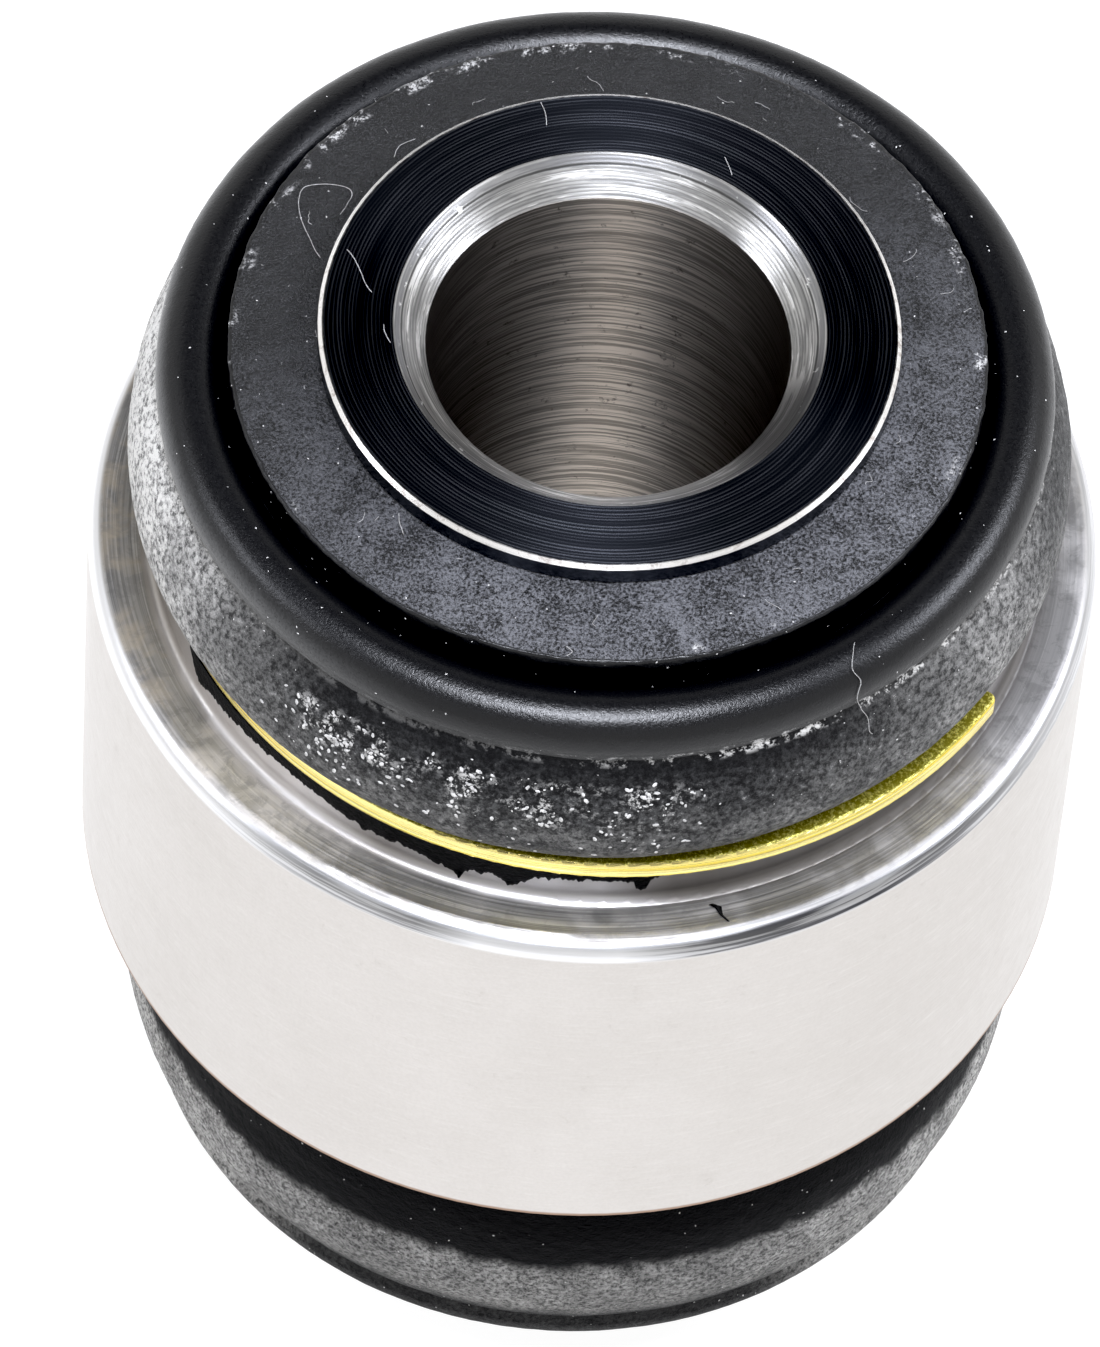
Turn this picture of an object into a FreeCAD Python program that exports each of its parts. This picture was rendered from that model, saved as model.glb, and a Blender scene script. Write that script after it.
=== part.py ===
import FreeCAD, Part
import Sketcher
import math
import os

# Sealed ball joint bush: a sleeve with a ball in its middle, held in a plastic seat inside a turned
# steel housing. A rubber boot at each end is clamped to the housing's neck by an open wire ring.
# The origin is the ball's centre and Z is the bore's axis. Sizes are in millimetres.

# Driving sizes: a name, a value and what it measures.
SIZES = (
    ("housing_dia", 40.0, "outside of the housing, pressed into a carrier"),
    ("seat_bore_dia", 34.4, "bore of the housing round the ball seat"),
    ("seat_half", 6.2, "half the height of the ball seat's chamber"),
    ("crown_thick", 5.6, "from the chamber to the housing's shoulder"),
    ("corner_round", 0.8, "rounded corner between shoulder and outside"),
    ("edge_bevel", 0.4, "bevel on the housing's lower outer edge"),
    ("mouth_dia", 28.2, "openings beside the chamber, clear of the ball"),
    ("mouth_flare", 1.1, "how far each opening widens to its end, on the radius"),
    ("neck_dia", 35.0, "neck above the shoulder"),
    ("neck_fillet", 0.4, "fillet between neck and shoulder"),
    ("groove_dia", 32.0, "floor of the groove that holds a boot's collar"),
    ("groove_width", 1.7, "width of that groove"),
    ("bead_dia", 33.6, "bead that closes the groove"),
    ("bead_width", 1.0, "width of the bead"),
    ("bead_bevel", 0.3, "bevel on the bead"),
    ("flange_thick", 1.2, "straight part of the closing ring's flange"),
    ("flange_bevel", 0.8, "bevel that the housing's lip is rolled over"),
    ("upper_ring_rise", 2.2, "from the shoulder to the upper wire ring"),
    ("lower_ring_drop", 2.0, "from the housing's lower edge to the lower wire ring"),
    ("ring_foot", 0.1, "rubber between a wire ring and its groove's edge"),
    ("ring_dia", 35.94, "outside of a wire ring"),
    ("ring_shift", 0.48, "how far a wire ring sits to one side"),
    ("wire_width", 1.0, "wire of the ring, across"),
    ("wire_thick", 0.95, "wire of the ring, along the axis"),
    ("wire_round", 0.15, "rounded corners of the wire"),
    ("wire_end_round", 0.35, "rounded corners of the wire's cut ends"),
    ("ring_opening", 45.0, "angle between the ends of a wire ring"),
    ("sleeve_length", 50.8, "length over the sleeve's end faces"),
    ("sleeve_dia", 22.6, "outside of the sleeve's ends"),
    ("sleeve_bevel", 0.15, "bevel on the outer edge of an end face"),
    ("bore_dia", 14.2, "through bore for a fourteen millimetre bolt"),
    ("bore_bevel", 1.3, "bevel at each end of the bore"),
    ("end_land", 0.9, "sleeve end that stands proud of the upper boot"),
    ("lower_boot_inset", 1.25, "how much farther the sleeve stands out of the lower boot"),
    ("waist_dia", 21.0, "sleeve between an end and the ball"),
    ("ball_dia", 30.0, "ball in the middle of the sleeve"),
    ("ball_fillet", 1.2, "fillet between ball and waist"),
    ("ball_gap", 0.1, "running clearance between ball and seat"),
    ("fit_gap", 0.05, "clearance of pieces that sit in each other"),
    ("lip_gap", 0.08, "clearance of a boot round metal"),
    ("slit_width", 0.8, "slit that lets the seat snap over the ball"),
    ("grease_groove_dia", 2.8, "round floor of the seat's grease grooves"),
    ("grease_groove_depth", 0.5, "depth of those grooves at the middle of the seat"),
    ("grease_groove_count", 6, "grease grooves round the seat"),
    ("roof_dia", 29.5, "flat roof of a boot"),
    ("roof_drop", 1.3, "from the sleeve's end face to the roof's edge"),
    ("roof_thick", 3.0, "thickness of the roof at its edge"),
    ("roof_taper", 0.4, "how much thinner the roof is where it meets the hub"),
    ("hub_thick", 1.9, "rubber hub round the sleeve"),
    ("hub_length", 4.9, "length of that hub"),
    ("bulge_round", 1.4, "section of the rolled bulge"),
    ("bulge_dia", 32.2, "middle of the rolled bulge"),
    ("bulge_drop", 3.5, "from the sleeve's end face to the middle of the bulge"),
    ("crease_dia", 34.7, "crease under the bulge"),
    ("crease_drop", 0.6, "from the middle of the bulge to the crease"),
    ("wall_dia", 37.0, "a boot's wall at its widest"),
    ("wall_drop", 4.2, "from the crease to the widest place"),
    ("wall_foot_dia", 35.2, "foot of the wall on the wire ring"),
    ("wall_thick", 1.45, "thickness of the wall at its widest"),
)

# Sizes that follow from the driving ones.
FOLLOWING = (
    ("housing_radius", "housing_dia / 2"),
    ("seat_bore_radius", "seat_bore_dia / 2"),
    ("mouth_radius", "mouth_dia / 2"),
    ("mouth_end_radius", "mouth_radius + mouth_flare"),
    ("neck_radius", "neck_dia / 2"),
    ("groove_radius", "groove_dia / 2"),
    ("bead_radius", "bead_dia / 2"),
    ("bead_top_radius", "bead_radius - bead_bevel"),
    ("shoulder_level", "seat_half + crown_thick"),
    ("corner_level", "shoulder_level - corner_round"),
    ("rim_radius", "housing_radius - corner_round"),
    ("fillet_level", "shoulder_level + neck_fillet"),
    ("fillet_radius", "neck_radius + neck_fillet"),
    ("lip_start_level", "seat_half + flange_thick"),
    ("base_level", "lip_start_level + flange_bevel"),
    ("lip_radius", "seat_bore_radius - flange_bevel"),
    ("bevel_level", "base_level - edge_bevel"),
    ("bevel_radius", "housing_radius - edge_bevel"),
    ("upper_ring_low", "shoulder_level + upper_ring_rise"),
    ("upper_ring_high", "upper_ring_low + wire_thick"),
    ("upper_groove_low", "upper_ring_low - ring_foot"),
    ("upper_groove_high", "upper_groove_low + groove_width"),
    ("upper_neck_end", "upper_groove_high + bead_width"),
    ("upper_bead_level", "upper_neck_end - bead_bevel"),
    ("lower_ring_low", "base_level + lower_ring_drop"),
    ("lower_ring_high", "lower_ring_low + wire_thick"),
    ("lower_groove_low", "lower_ring_low - ring_foot"),
    ("lower_groove_high", "lower_groove_low + groove_width"),
    ("lower_neck_end", "lower_groove_high + bead_width"),
    ("lower_bead_level", "lower_neck_end - bead_bevel"),
    ("flange_radius", "seat_bore_radius - fit_gap"),
    ("stem_radius", "lip_radius - fit_gap"),
    ("flange_level", "lip_start_level - 2 * fit_gap"),
    ("stem_level", "flange_level + flange_radius - stem_radius"),
    ("ring_radius", "ring_dia / 2"),
    ("ring_inner_radius", "ring_radius - wire_width"),
    ("ring_turn", "360 - ring_opening"),
    ("shell_radius", "seat_bore_radius - fit_gap"),
    ("shell_half", "seat_half - fit_gap"),
    ("ball_radius", "ball_dia / 2"),
    ("cup_radius", "ball_radius + ball_gap"),
    ("cup_mouth_radius", "sqrt(cup_radius ^ 2 - shell_half ^ 2)"),
    ("grease_groove_radius", "grease_groove_dia / 2"),
    ("grease_groove_place", "cup_radius + grease_groove_depth - grease_groove_radius"),
    ("slit_half", "slit_width / 2"),
    ("sleeve_half", "sleeve_length / 2"),
    ("sleeve_radius", "sleeve_dia / 2"),
    ("sleeve_face_radius", "sleeve_radius - sleeve_bevel"),
    ("sleeve_bevel_level", "sleeve_half - sleeve_bevel"),
    ("bore_radius", "bore_dia / 2"),
    ("bore_face_radius", "bore_radius + bore_bevel"),
    ("bore_end_level", "sleeve_half - bore_bevel"),
    ("waist_radius", "waist_dia / 2"),
    ("ball_edge_level", "sqrt(ball_radius ^ 2 - waist_radius ^ 2)"),
    ("hub_radius", "waist_radius + lip_gap"),
    ("hub_outer_radius", "hub_radius + hub_thick"),
    ("roof_radius", "roof_dia / 2"),
    ("bulge_radius", "bulge_dia / 2"),
    ("bulge_outer_radius", "bulge_radius + bulge_round"),
    ("cleft_rise", "sqrt(bulge_round ^ 2 - (bulge_radius - roof_radius) ^ 2)"),
    ("crease_radius", "crease_dia / 2"),
    ("wall_radius", "wall_dia / 2"),
    ("wall_swell", "wall_radius - crease_radius"),
    ("wall_round", "(wall_drop ^ 2 + wall_swell ^ 2) / (2 * wall_swell)"),
    ("wall_foot_radius", "wall_foot_dia / 2"),
    ("collar_radius", "ring_inner_radius - ring_shift - fit_gap"),
    ("sock_radius", "groove_radius + lip_gap"),
    ("bead_clear_radius", "bead_radius + lip_gap"),
    ("wall_inner_radius", "wall_radius - wall_thick"),
    ("throat_radius", "bulge_radius + lip_gap"),
    ("upper_top", "sleeve_half"),
    ("lower_top", "sleeve_half - lower_boot_inset"),
)

# Levels of one boot, made once for each end: the boot stands on its own groove and wire ring.
BOOT_LEVELS = (
    ("land", "{side}_top - end_land"),
    ("roof", "{side}_land - fit_gap"),
    ("hub", "{side}_roof - hub_length"),
    ("roof_edge", "{side}_top - roof_drop"),
    ("roof_under", "{side}_roof_edge - roof_thick"),
    ("hub_joint", "{side}_roof_under + roof_taper"),
    ("bulge", "{side}_top - bulge_drop"),
    ("cleft", "{side}_bulge + cleft_rise"),
    ("crease", "{side}_bulge - crease_drop"),
    ("wall", "{side}_crease - wall_drop"),
    ("belly", "{side}_wall + wall_thick / 2"),
    ("throat", "{side}_bulge - bulge_round"),
    ("foot", "{side}_groove_low + fit_gap"),
    ("seat", "{side}_ring_high + fit_gap"),
    ("sock", "{side}_groove_high - fit_gap"),
    ("past_bead", "{side}_neck_end + bead_bevel"),
    (
        "foot_round",
        "(({side}_wall - {side}_seat) ^ 2 + (wall_radius - wall_foot_radius) ^ 2)"
        " / (2 * (wall_radius - wall_foot_radius))",
    ),
)

SIDES = ("upper", "lower")

# Where each wire ring's first end lies round the axis, in degrees.
RING_END_ANGLE = -28.5
HIDDEN_RING_END_ANGLE = 100.0

# How near an edge lies to a level to count as on it.
LEVEL_TOLERANCE = 1e-4

document = FreeCAD.newDocument("BallJointBush")


def fill_sheet():
    """Writes the driving sizes and those that follow from them, each under its own name."""
    made = document.addObject("Spreadsheet::Sheet", "Sizes")
    rows = [(name, str(value), note) for name, value, note in SIZES]
    rows += [(name, "=" + formula, "") for name, formula in FOLLOWING]
    for side in SIDES:
        for name, formula in BOOT_LEVELS:
            rows.append((side + "_" + name, "=" + formula.format(side=side), ""))
    for row, (name, content, note) in enumerate(rows, start=1):
        made.set("A%d" % row, name)
        made.set("B%d" % row, content)
        made.setAlias("B%d" % row, name)
        made.set("C%d" % row, note)
    document.recompute()
    return made


sheet = fill_sheet()


def size(name):
    """The number behind a size's name. A leading minus turns its sign."""
    return -sheet.get(name[1:]) if name.startswith("-") else sheet.get(name)


def bound(name):
    """The expression that binds a property to a size."""
    return "-Sizes." + name[1:] if name.startswith("-") else "Sizes." + name


def make_body(label):
    body = document.addObject("PartDesign::Body", label)
    body.Label = label
    return body


def plane_of(body, role):
    """One of a body's own origin planes."""
    return next(item for item in body.Origin.OriginFeatures if item.Role == role)


def make_sketch(body, name, role):
    sketch = body.newObject("Sketcher::SketchObject", name)
    sketch.AttachmentSupport = [(plane_of(body, role), "")]
    sketch.MapMode = "FlatFace"
    return sketch


def bind_constraint(sketch, constraint, name):
    index = sketch.addConstraint(constraint)
    sketch.setExpression("Constraints[%d]" % index, bound(name))


def arc_between(start, end, radius, turn):
    """The arc from start to end. turn is 1 when it runs anticlockwise and -1 when clockwise."""
    chord = end - start
    reach = math.sqrt(max(radius**2 - (chord.Length / 2) ** 2, 0.0))
    across = FreeCAD.Vector(-chord.y, chord.x, 0).normalize()
    centre = (start + end) * 0.5 + across * reach * turn
    first = math.atan2(start.y - centre.y, start.x - centre.x)
    last = math.atan2(end.y - centre.y, end.x - centre.x)
    circle = Part.Circle(centre, FreeCAD.Vector(0, 0, 1), radius)
    return Part.ArcOfCircle(circle, first, last) if turn > 0 else Part.ArcOfCircle(circle, last, first)


def draw_outline(sketch, corners):
    """A closed outline. Each corner is (x, y), or (x, y, radius, turn) where an arc leaves it."""
    places = [FreeCAD.Vector(size(c[0]), size(c[1]), 0) for c in corners]
    starts, ends = [], []
    for i, corner in enumerate(corners):
        here, there = places[i], places[(i + 1) % len(corners)]
        if len(corner) == 2:
            index = sketch.addGeometry(Part.LineSegment(here, there), False)
            starts.append((index, 1))
            ends.append((index, 2))
            continue
        radius, turn = corner[2:]
        index = sketch.addGeometry(arc_between(here, there, size(radius), turn), False)
        starts.append((index, 1 if turn > 0 else 2))
        ends.append((index, 2 if turn > 0 else 1))
    for i, corner in enumerate(corners):
        sketch.addConstraint(Sketcher.Constraint("Coincident", *ends[i - 1], *starts[i]))
        bind_constraint(
            sketch, Sketcher.Constraint("DistanceX", -1, 1, *starts[i], places[i].x), corner[0]
        )
        bind_constraint(
            sketch, Sketcher.Constraint("DistanceY", -1, 1, *starts[i], places[i].y), corner[1]
        )
    for i, corner in enumerate(corners):
        if len(corner) > 2:
            radius = Sketcher.Constraint("Radius", starts[i][0], size(corner[2]))
            bind_constraint(sketch, radius, corner[2])


def turn_outline(body, name, corners, angle=None):
    """Turns an outline in the XZ plane about Z, all the way round or by a bound angle."""
    sketch = make_sketch(body, name + "Outline", "XZ_Plane")
    draw_outline(sketch, corners)
    feature = body.newObject("PartDesign::Revolution", name)
    feature.Profile = sketch
    feature.ReferenceAxis = (sketch, ["V_Axis"])
    feature.Angle = 360.0
    if angle:
        feature.setExpression("Angle", bound(angle))
    document.recompute()
    return feature


def mirrored(corners):
    """The same corners below the XY plane, in the order that closes an outline with them."""
    return [(x, "-" + y) for x, y in reversed(corners)]


def edges_where(feature, test):
    """Names of the edges whose middle point passes a test."""
    names = []
    for number, edge in enumerate(feature.Shape.Edges, start=1):
        first, last = edge.ParameterRange
        if test(edge.valueAt((first + last) / 2), edge):
            names.append("Edge%d" % number)
    return names


def round_edges(body, name, feature, edges, radius):
    fillet = body.newObject("PartDesign::Fillet", name)
    fillet.Base = (feature, edges)
    fillet.setExpression("Radius", bound(radius))
    document.recompute()
    return fillet


def build_housing():
    """Turned steel: seat bore, shoulder, and a neck with the groove for the upper boot."""
    body = make_body("outer_housing")
    turn_outline(
        body,
        "HousingTurned",
        [
            ("seat_bore_radius", "-lip_start_level"),
            ("lip_radius", "-base_level"),
            ("bevel_radius", "-base_level"),
            ("housing_radius", "-bevel_level"),
            ("housing_radius", "corner_level", "corner_round", 1),
            ("rim_radius", "shoulder_level"),
            ("fillet_radius", "shoulder_level", "neck_fillet", -1),
            ("neck_radius", "fillet_level"),
            ("neck_radius", "upper_groove_low"),
            ("groove_radius", "upper_groove_low"),
            ("groove_radius", "upper_groove_high"),
            ("bead_radius", "upper_groove_high"),
            ("bead_radius", "upper_bead_level"),
            ("bead_top_radius", "upper_neck_end"),
            ("mouth_end_radius", "upper_neck_end"),
            ("mouth_radius", "seat_half"),
            ("seat_bore_radius", "seat_half"),
        ],
    )
    return body


def build_closing_ring():
    """Turned ring under the seat. The housing's lip is rolled over its bevel."""
    body = make_body("closing_ring")
    turn_outline(
        body,
        "ClosingTurned",
        [
            ("mouth_radius", "-seat_half"),
            ("mouth_end_radius", "-lower_neck_end"),
            ("bead_top_radius", "-lower_neck_end"),
            ("bead_radius", "-lower_bead_level"),
            ("bead_radius", "-lower_groove_high"),
            ("groove_radius", "-lower_groove_high"),
            ("groove_radius", "-lower_groove_low"),
            ("stem_radius", "-lower_groove_low"),
            ("stem_radius", "-stem_level"),
            ("flange_radius", "-flange_level"),
            ("flange_radius", "-seat_half"),
        ],
    )
    return body


def build_shell():
    """Plastic ball seat with one slit and a ring of grease grooves."""
    body = make_body("bearing_shell")
    cup = turn_outline(
        body,
        "ShellTurned",
        [
            ("cup_mouth_radius", "shell_half", "cup_radius", -1),
            ("cup_mouth_radius", "-shell_half"),
            ("shell_radius", "-shell_half"),
            ("shell_radius", "shell_half"),
        ],
    )
    before = cup.Shape.Volume

    slit_sketch = make_sketch(body, "SlitOutline", "XY_Plane")
    draw_outline(
        slit_sketch,
        [
            ("-slit_half", "waist_radius"),
            ("slit_half", "waist_radius"),
            ("slit_half", "housing_radius"),
            ("-slit_half", "housing_radius"),
        ],
    )
    slit = body.newObject("PartDesign::Pocket", "Slit")
    slit.Profile = slit_sketch
    slit.Type = "ThroughAll"
    slit.Midplane = True
    document.recompute()

    groove_sketch = make_sketch(body, "GreaseGrooveOutline", "XY_Plane")
    centre = FreeCAD.Vector(size("grease_groove_place"), 0, 0)
    circle = Part.Circle(centre, FreeCAD.Vector(0, 0, 1), size("grease_groove_radius"))
    groove_sketch.addGeometry(circle, False)
    groove_sketch.addConstraint(Sketcher.Constraint("PointOnObject", 0, 3, -1))
    bind_constraint(
        groove_sketch,
        Sketcher.Constraint("DistanceX", -1, 1, 0, 3, centre.x),
        "grease_groove_place",
    )
    bind_constraint(
        groove_sketch,
        Sketcher.Constraint("Radius", 0, size("grease_groove_radius")),
        "grease_groove_radius",
    )
    groove = body.newObject("PartDesign::Pocket", "GreaseGroove")
    groove.Profile = groove_sketch
    groove.Type = "ThroughAll"
    groove.Midplane = True
    document.recompute()

    around = body.newObject("PartDesign::PolarPattern", "GreaseGrooves")
    around.Originals = [groove]
    around.Axis = (groove_sketch, ["N_Axis"])
    around.Angle = 360.0
    around.setExpression("Occurrences", bound("grease_groove_count"))
    body.Tip = around
    document.recompute()
    if not around.Shape.Volume < slit.Shape.Volume < before:
        raise RuntimeError("the seat's slit or grooves cut nothing")
    return body


def build_sleeve():
    """Hollow sleeve with a ball in its middle and a waist on each side of it."""
    body = make_body("ball_sleeve")
    upper, lower = (
        [
            ("waist_radius", side + "_land"),
            ("sleeve_radius", side + "_land"),
            ("sleeve_radius", "sleeve_bevel_level"),
            ("sleeve_face_radius", "sleeve_half"),
            ("bore_face_radius", "sleeve_half"),
            ("bore_radius", "bore_end_level"),
        ]
        for side in SIDES
    )
    ball = [("waist_radius", "-ball_edge_level", "ball_radius", 1), ("waist_radius", "ball_edge_level")]
    turned = turn_outline(body, "SleeveTurned", mirrored(lower) + ball + upper)
    level = size("ball_edge_level")
    edges = edges_where(
        turned,
        lambda at, edge: abs(abs(at.z) - level) < LEVEL_TOLERANCE and edge.Length > size("waist_dia"),
    )
    round_edges(body, "BallFillets", turned, edges, "ball_fillet")
    return body


def build_boot(side):
    """Rubber boot: hub round the sleeve, flat roof, rolled bulge, wall, and collar in its groove."""
    body = make_body(side + "_boot")
    turn_outline(
        body,
        side.capitalize() + "BootTurned",
        [
            ("hub_radius", side + "_hub"),
            ("hub_outer_radius", side + "_hub"),
            ("hub_outer_radius", side + "_hub_joint"),
            ("roof_radius", side + "_roof_under"),
            ("throat_radius", side + "_throat"),
            ("wall_inner_radius", side + "_belly"),
            ("bead_clear_radius", side + "_past_bead"),
            ("bead_clear_radius", side + "_sock"),
            ("sock_radius", side + "_sock"),
            ("sock_radius", side + "_foot"),
            ("collar_radius", side + "_foot"),
            ("collar_radius", side + "_seat"),
            ("wall_foot_radius", side + "_seat", side + "_foot_round", 1),
            ("wall_radius", side + "_wall", "wall_round", 1),
            ("crease_radius", side + "_crease"),
            ("bulge_outer_radius", side + "_bulge", "bulge_round", 1),
            ("roof_radius", side + "_cleft"),
            ("roof_radius", side + "_roof_edge"),
            ("hub_radius", side + "_roof"),
        ],
    )
    if side == "lower":
        body.Placement.Rotation = FreeCAD.Rotation(FreeCAD.Vector(1, 0, 0), 180)
    return body


def build_ring(side):
    """Open ring of flat wire that clamps a boot's collar, a little to one side of the axis."""
    body = make_body(side + "_retaining_ring")
    low, high = side + "_ring_low", side + "_ring_high"
    turned = turn_outline(
        body,
        side.capitalize() + "RingTurned",
        [
            ("ring_inner_radius", low),
            ("ring_radius", low),
            ("ring_radius", high),
            ("ring_inner_radius", high),
        ],
        "ring_turn",
    )
    ends = edges_where(
        turned, lambda at, edge: edge.BoundBox.ZLength > size("wire_thick") - LEVEL_TOLERANCE
    )
    cut = round_edges(body, side.capitalize() + "RingEnds", turned, ends, "wire_end_round")
    corners = edges_where(
        cut,
        lambda at, edge: min(abs(at.z - size(low)), abs(at.z - size(high))) < LEVEL_TOLERANCE,
    )
    round_edges(body, side.capitalize() + "RingCorners", cut, corners, "wire_round")
    body.setExpression("Placement.Base.x", bound("ring_shift"))
    if side == "upper":
        body.Placement.Rotation = FreeCAD.Rotation(
            FreeCAD.Vector(0, 0, 1), RING_END_ANGLE + size("ring_opening")
        )
    else:
        flip = FreeCAD.Rotation(FreeCAD.Vector(1, 0, 0), 180)
        body.Placement.Rotation = FreeCAD.Rotation(FreeCAD.Vector(0, 0, 1), HIDDEN_RING_END_ANGLE) * flip
    return body


def check_and_write(bodies):
    """Stops at any failed object or solid, then writes each piece to its own file."""
    document.recompute()
    for item in document.Objects:
        if "Invalid" in item.State or "Error" in item.State:
            raise RuntimeError("%s failed: %s" % (item.Name, item.State))
    os.makedirs("parts", exist_ok=True)
    for body in bodies:
        shape = body.Shape
        if shape.isNull() or not shape.isValid() or len(shape.Solids) != 1:
            raise RuntimeError("%s isn't one valid solid" % body.Label)
        shape.exportStep("parts/%s.step" % body.Label)
        box = shape.BoundBox
        print(
            "%-22s %9.1f mm3, z %7.2f to %6.2f, x %7.2f to %6.2f"
            % (body.Label, shape.Volume, box.ZMin, box.ZMax, box.XMin, box.XMax)
        )


pieces = [build_housing(), build_closing_ring(), build_shell(), build_sleeve()]
pieces += [build_boot(side) for side in SIDES]
pieces += [build_ring(side) for side in SIDES]
check_and_write(pieces)
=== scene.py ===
"""Looks of a sealed ball joint bush: steel housing and ball sleeve, rubber boots and yellow wire rings."""

import enum
import logging
import math
from collections.abc import Callable, Iterable, Sequence
from dataclasses import dataclass

import bmesh
import bpy
import numpy as np
from mathutils import Matrix, Vector, noise


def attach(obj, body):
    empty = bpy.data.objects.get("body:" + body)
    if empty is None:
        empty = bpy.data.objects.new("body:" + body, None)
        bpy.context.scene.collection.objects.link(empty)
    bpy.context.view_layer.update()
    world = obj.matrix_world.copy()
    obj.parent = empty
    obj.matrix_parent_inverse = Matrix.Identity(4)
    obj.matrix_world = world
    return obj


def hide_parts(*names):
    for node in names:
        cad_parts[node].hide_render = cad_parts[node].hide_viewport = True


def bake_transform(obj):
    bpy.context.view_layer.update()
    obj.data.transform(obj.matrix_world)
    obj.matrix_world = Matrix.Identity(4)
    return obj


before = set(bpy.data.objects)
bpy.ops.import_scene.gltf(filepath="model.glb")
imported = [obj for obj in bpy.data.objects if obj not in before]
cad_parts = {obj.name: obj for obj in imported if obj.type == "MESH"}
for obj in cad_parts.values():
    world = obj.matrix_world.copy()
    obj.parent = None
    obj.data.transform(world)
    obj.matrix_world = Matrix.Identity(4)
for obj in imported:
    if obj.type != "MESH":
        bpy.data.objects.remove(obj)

log = logging.getLogger("bush")

MM = 0.001
PHOTO_HEIGHT = 1347
SQUARE_METRE = 1e6  # in square millimetres

# Middles of the talc clusters on the upper boot's wall: azimuth in degrees and height.
TALC_CLUSTERS = ((-122.9, 19.5), (-116.1, 19.5), (-102.8, 19.55), (-92.1, 19.4), (-80.7, 19.4))

# Paths of stray fibres: azimuth in degrees, radius and height.
ROOF_FIBRES = (
    (
        (165.9, 11.8, 24.35), (163.5, 12.3, 24.31), (158.2, 13.35, 24.21), (153.9, 13.86, 24.2),
        (151.5, 13.45, 24.3), (149.3, 12.5, 24.29), (150.2, 12.04, 24.33), (155.1, 11.95, 24.34),
    ),
    ((132.5, 12.15, 24.32), (135.6, 12.3, 24.31), (138.3, 12.0, 24.34)),
    ((-92.6, 14.2, 24.14), (-91.6, 14.45, 24.2), (-92.4, 14.6, 24.1)),
    ((-130.1, 11.58, 24.37), (-128.5, 11.88, 24.35), (-126.4, 12.14, 24.32)),
    (
        (-50.3, 16.1, 23.35), (-52.5, 16.9, 23.1), (-52.1, 17.35, 22.65), (-53.0, 17.6, 21.9),
        (-51.6, 17.8, 20.65), (-51.7, 18.05, 20.05), (-51.3, 18.1, 19.78),
    ),
)
FACE_FIBRES = (
    ((165.9, 10.73, 25.4), (168.3, 10.23, 25.4), (173.9, 9.6, 25.4), (175.9, 9.31, 25.4)),
    ((108.2, 11.0, 25.4), (107.9, 10.54, 25.4), (108.4, 9.86, 25.4)),
    ((65.3, 9.39, 25.4), (63.7, 9.15, 25.4), (61.1, 8.78, 25.4)),
    ((-174.8, 8.75, 25.4), (-171.6, 8.7, 25.4), (-169.0, 8.55, 25.4)),
)

Colour = tuple[float, float, float]
Triple = tuple[float, float, float]
Point = tuple[float, float]
Ramp = tuple[Point, ...]
Path = tuple[Triple, ...]
Faces = list[tuple[int, ...]]
Shift = Callable[[Vector, int], Point]
Socket = bpy.types.NodeSocket
Value = Socket | float | Colour


class Side(enum.Enum):
    """The two ends of the bush, with the sign of Z."""

    UPPER = 1
    LOWER = -1


class Zone(enum.IntEnum):
    """Places along a boot's outline, from the hub outwards. The surface's "run" counts through them."""

    ROOF = 0
    ROOF_EDGE = 1
    CLEFT = 2
    BULGE_TOP = 3
    CREASE = 4
    BELLY = 5
    FOOT = 6
    HIDDEN = 7


class Tree:
    """A node tree under construction."""

    def __init__(self, tree: bpy.types.NodeTree) -> None:
        """Takes a tree and empties it.

        Args:
            tree: the tree.
        """
        self.tree = tree
        self.tree.nodes.clear()

    def put(self, socket: Socket, value: Value) -> None:
        """Links a socket into an input, or sets the input to a value.

        Args:
            socket: the input.
            value: a socket or a value; three numbers make a colour.
        """
        if isinstance(value, bpy.types.NodeSocket):
            self.tree.links.new(value, socket)
        else:
            socket.default_value = (*value, 1.0) if socket.type == "RGBA" else value

    def add(
        self, kind: str, inputs: dict[str | int, Value] | None = None, **settings: object
    ) -> bpy.types.Node:
        """Adds a node.

        Args:
            kind: the node's type.
            inputs: its inputs by name or number, each with a socket or a value.
            settings: properties to set on it first.

        Returns:
            The new node.
        """
        node = self.tree.nodes.new(kind)
        for key, value in settings.items():
            setattr(node, key, value)
        for key, value in (inputs or {}).items():
            if isinstance(key, str):
                socket = next(s for s in node.inputs if s.name == key and s.enabled)
            else:
                socket = node.inputs[key]
            self.put(socket, value)
        return node


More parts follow.
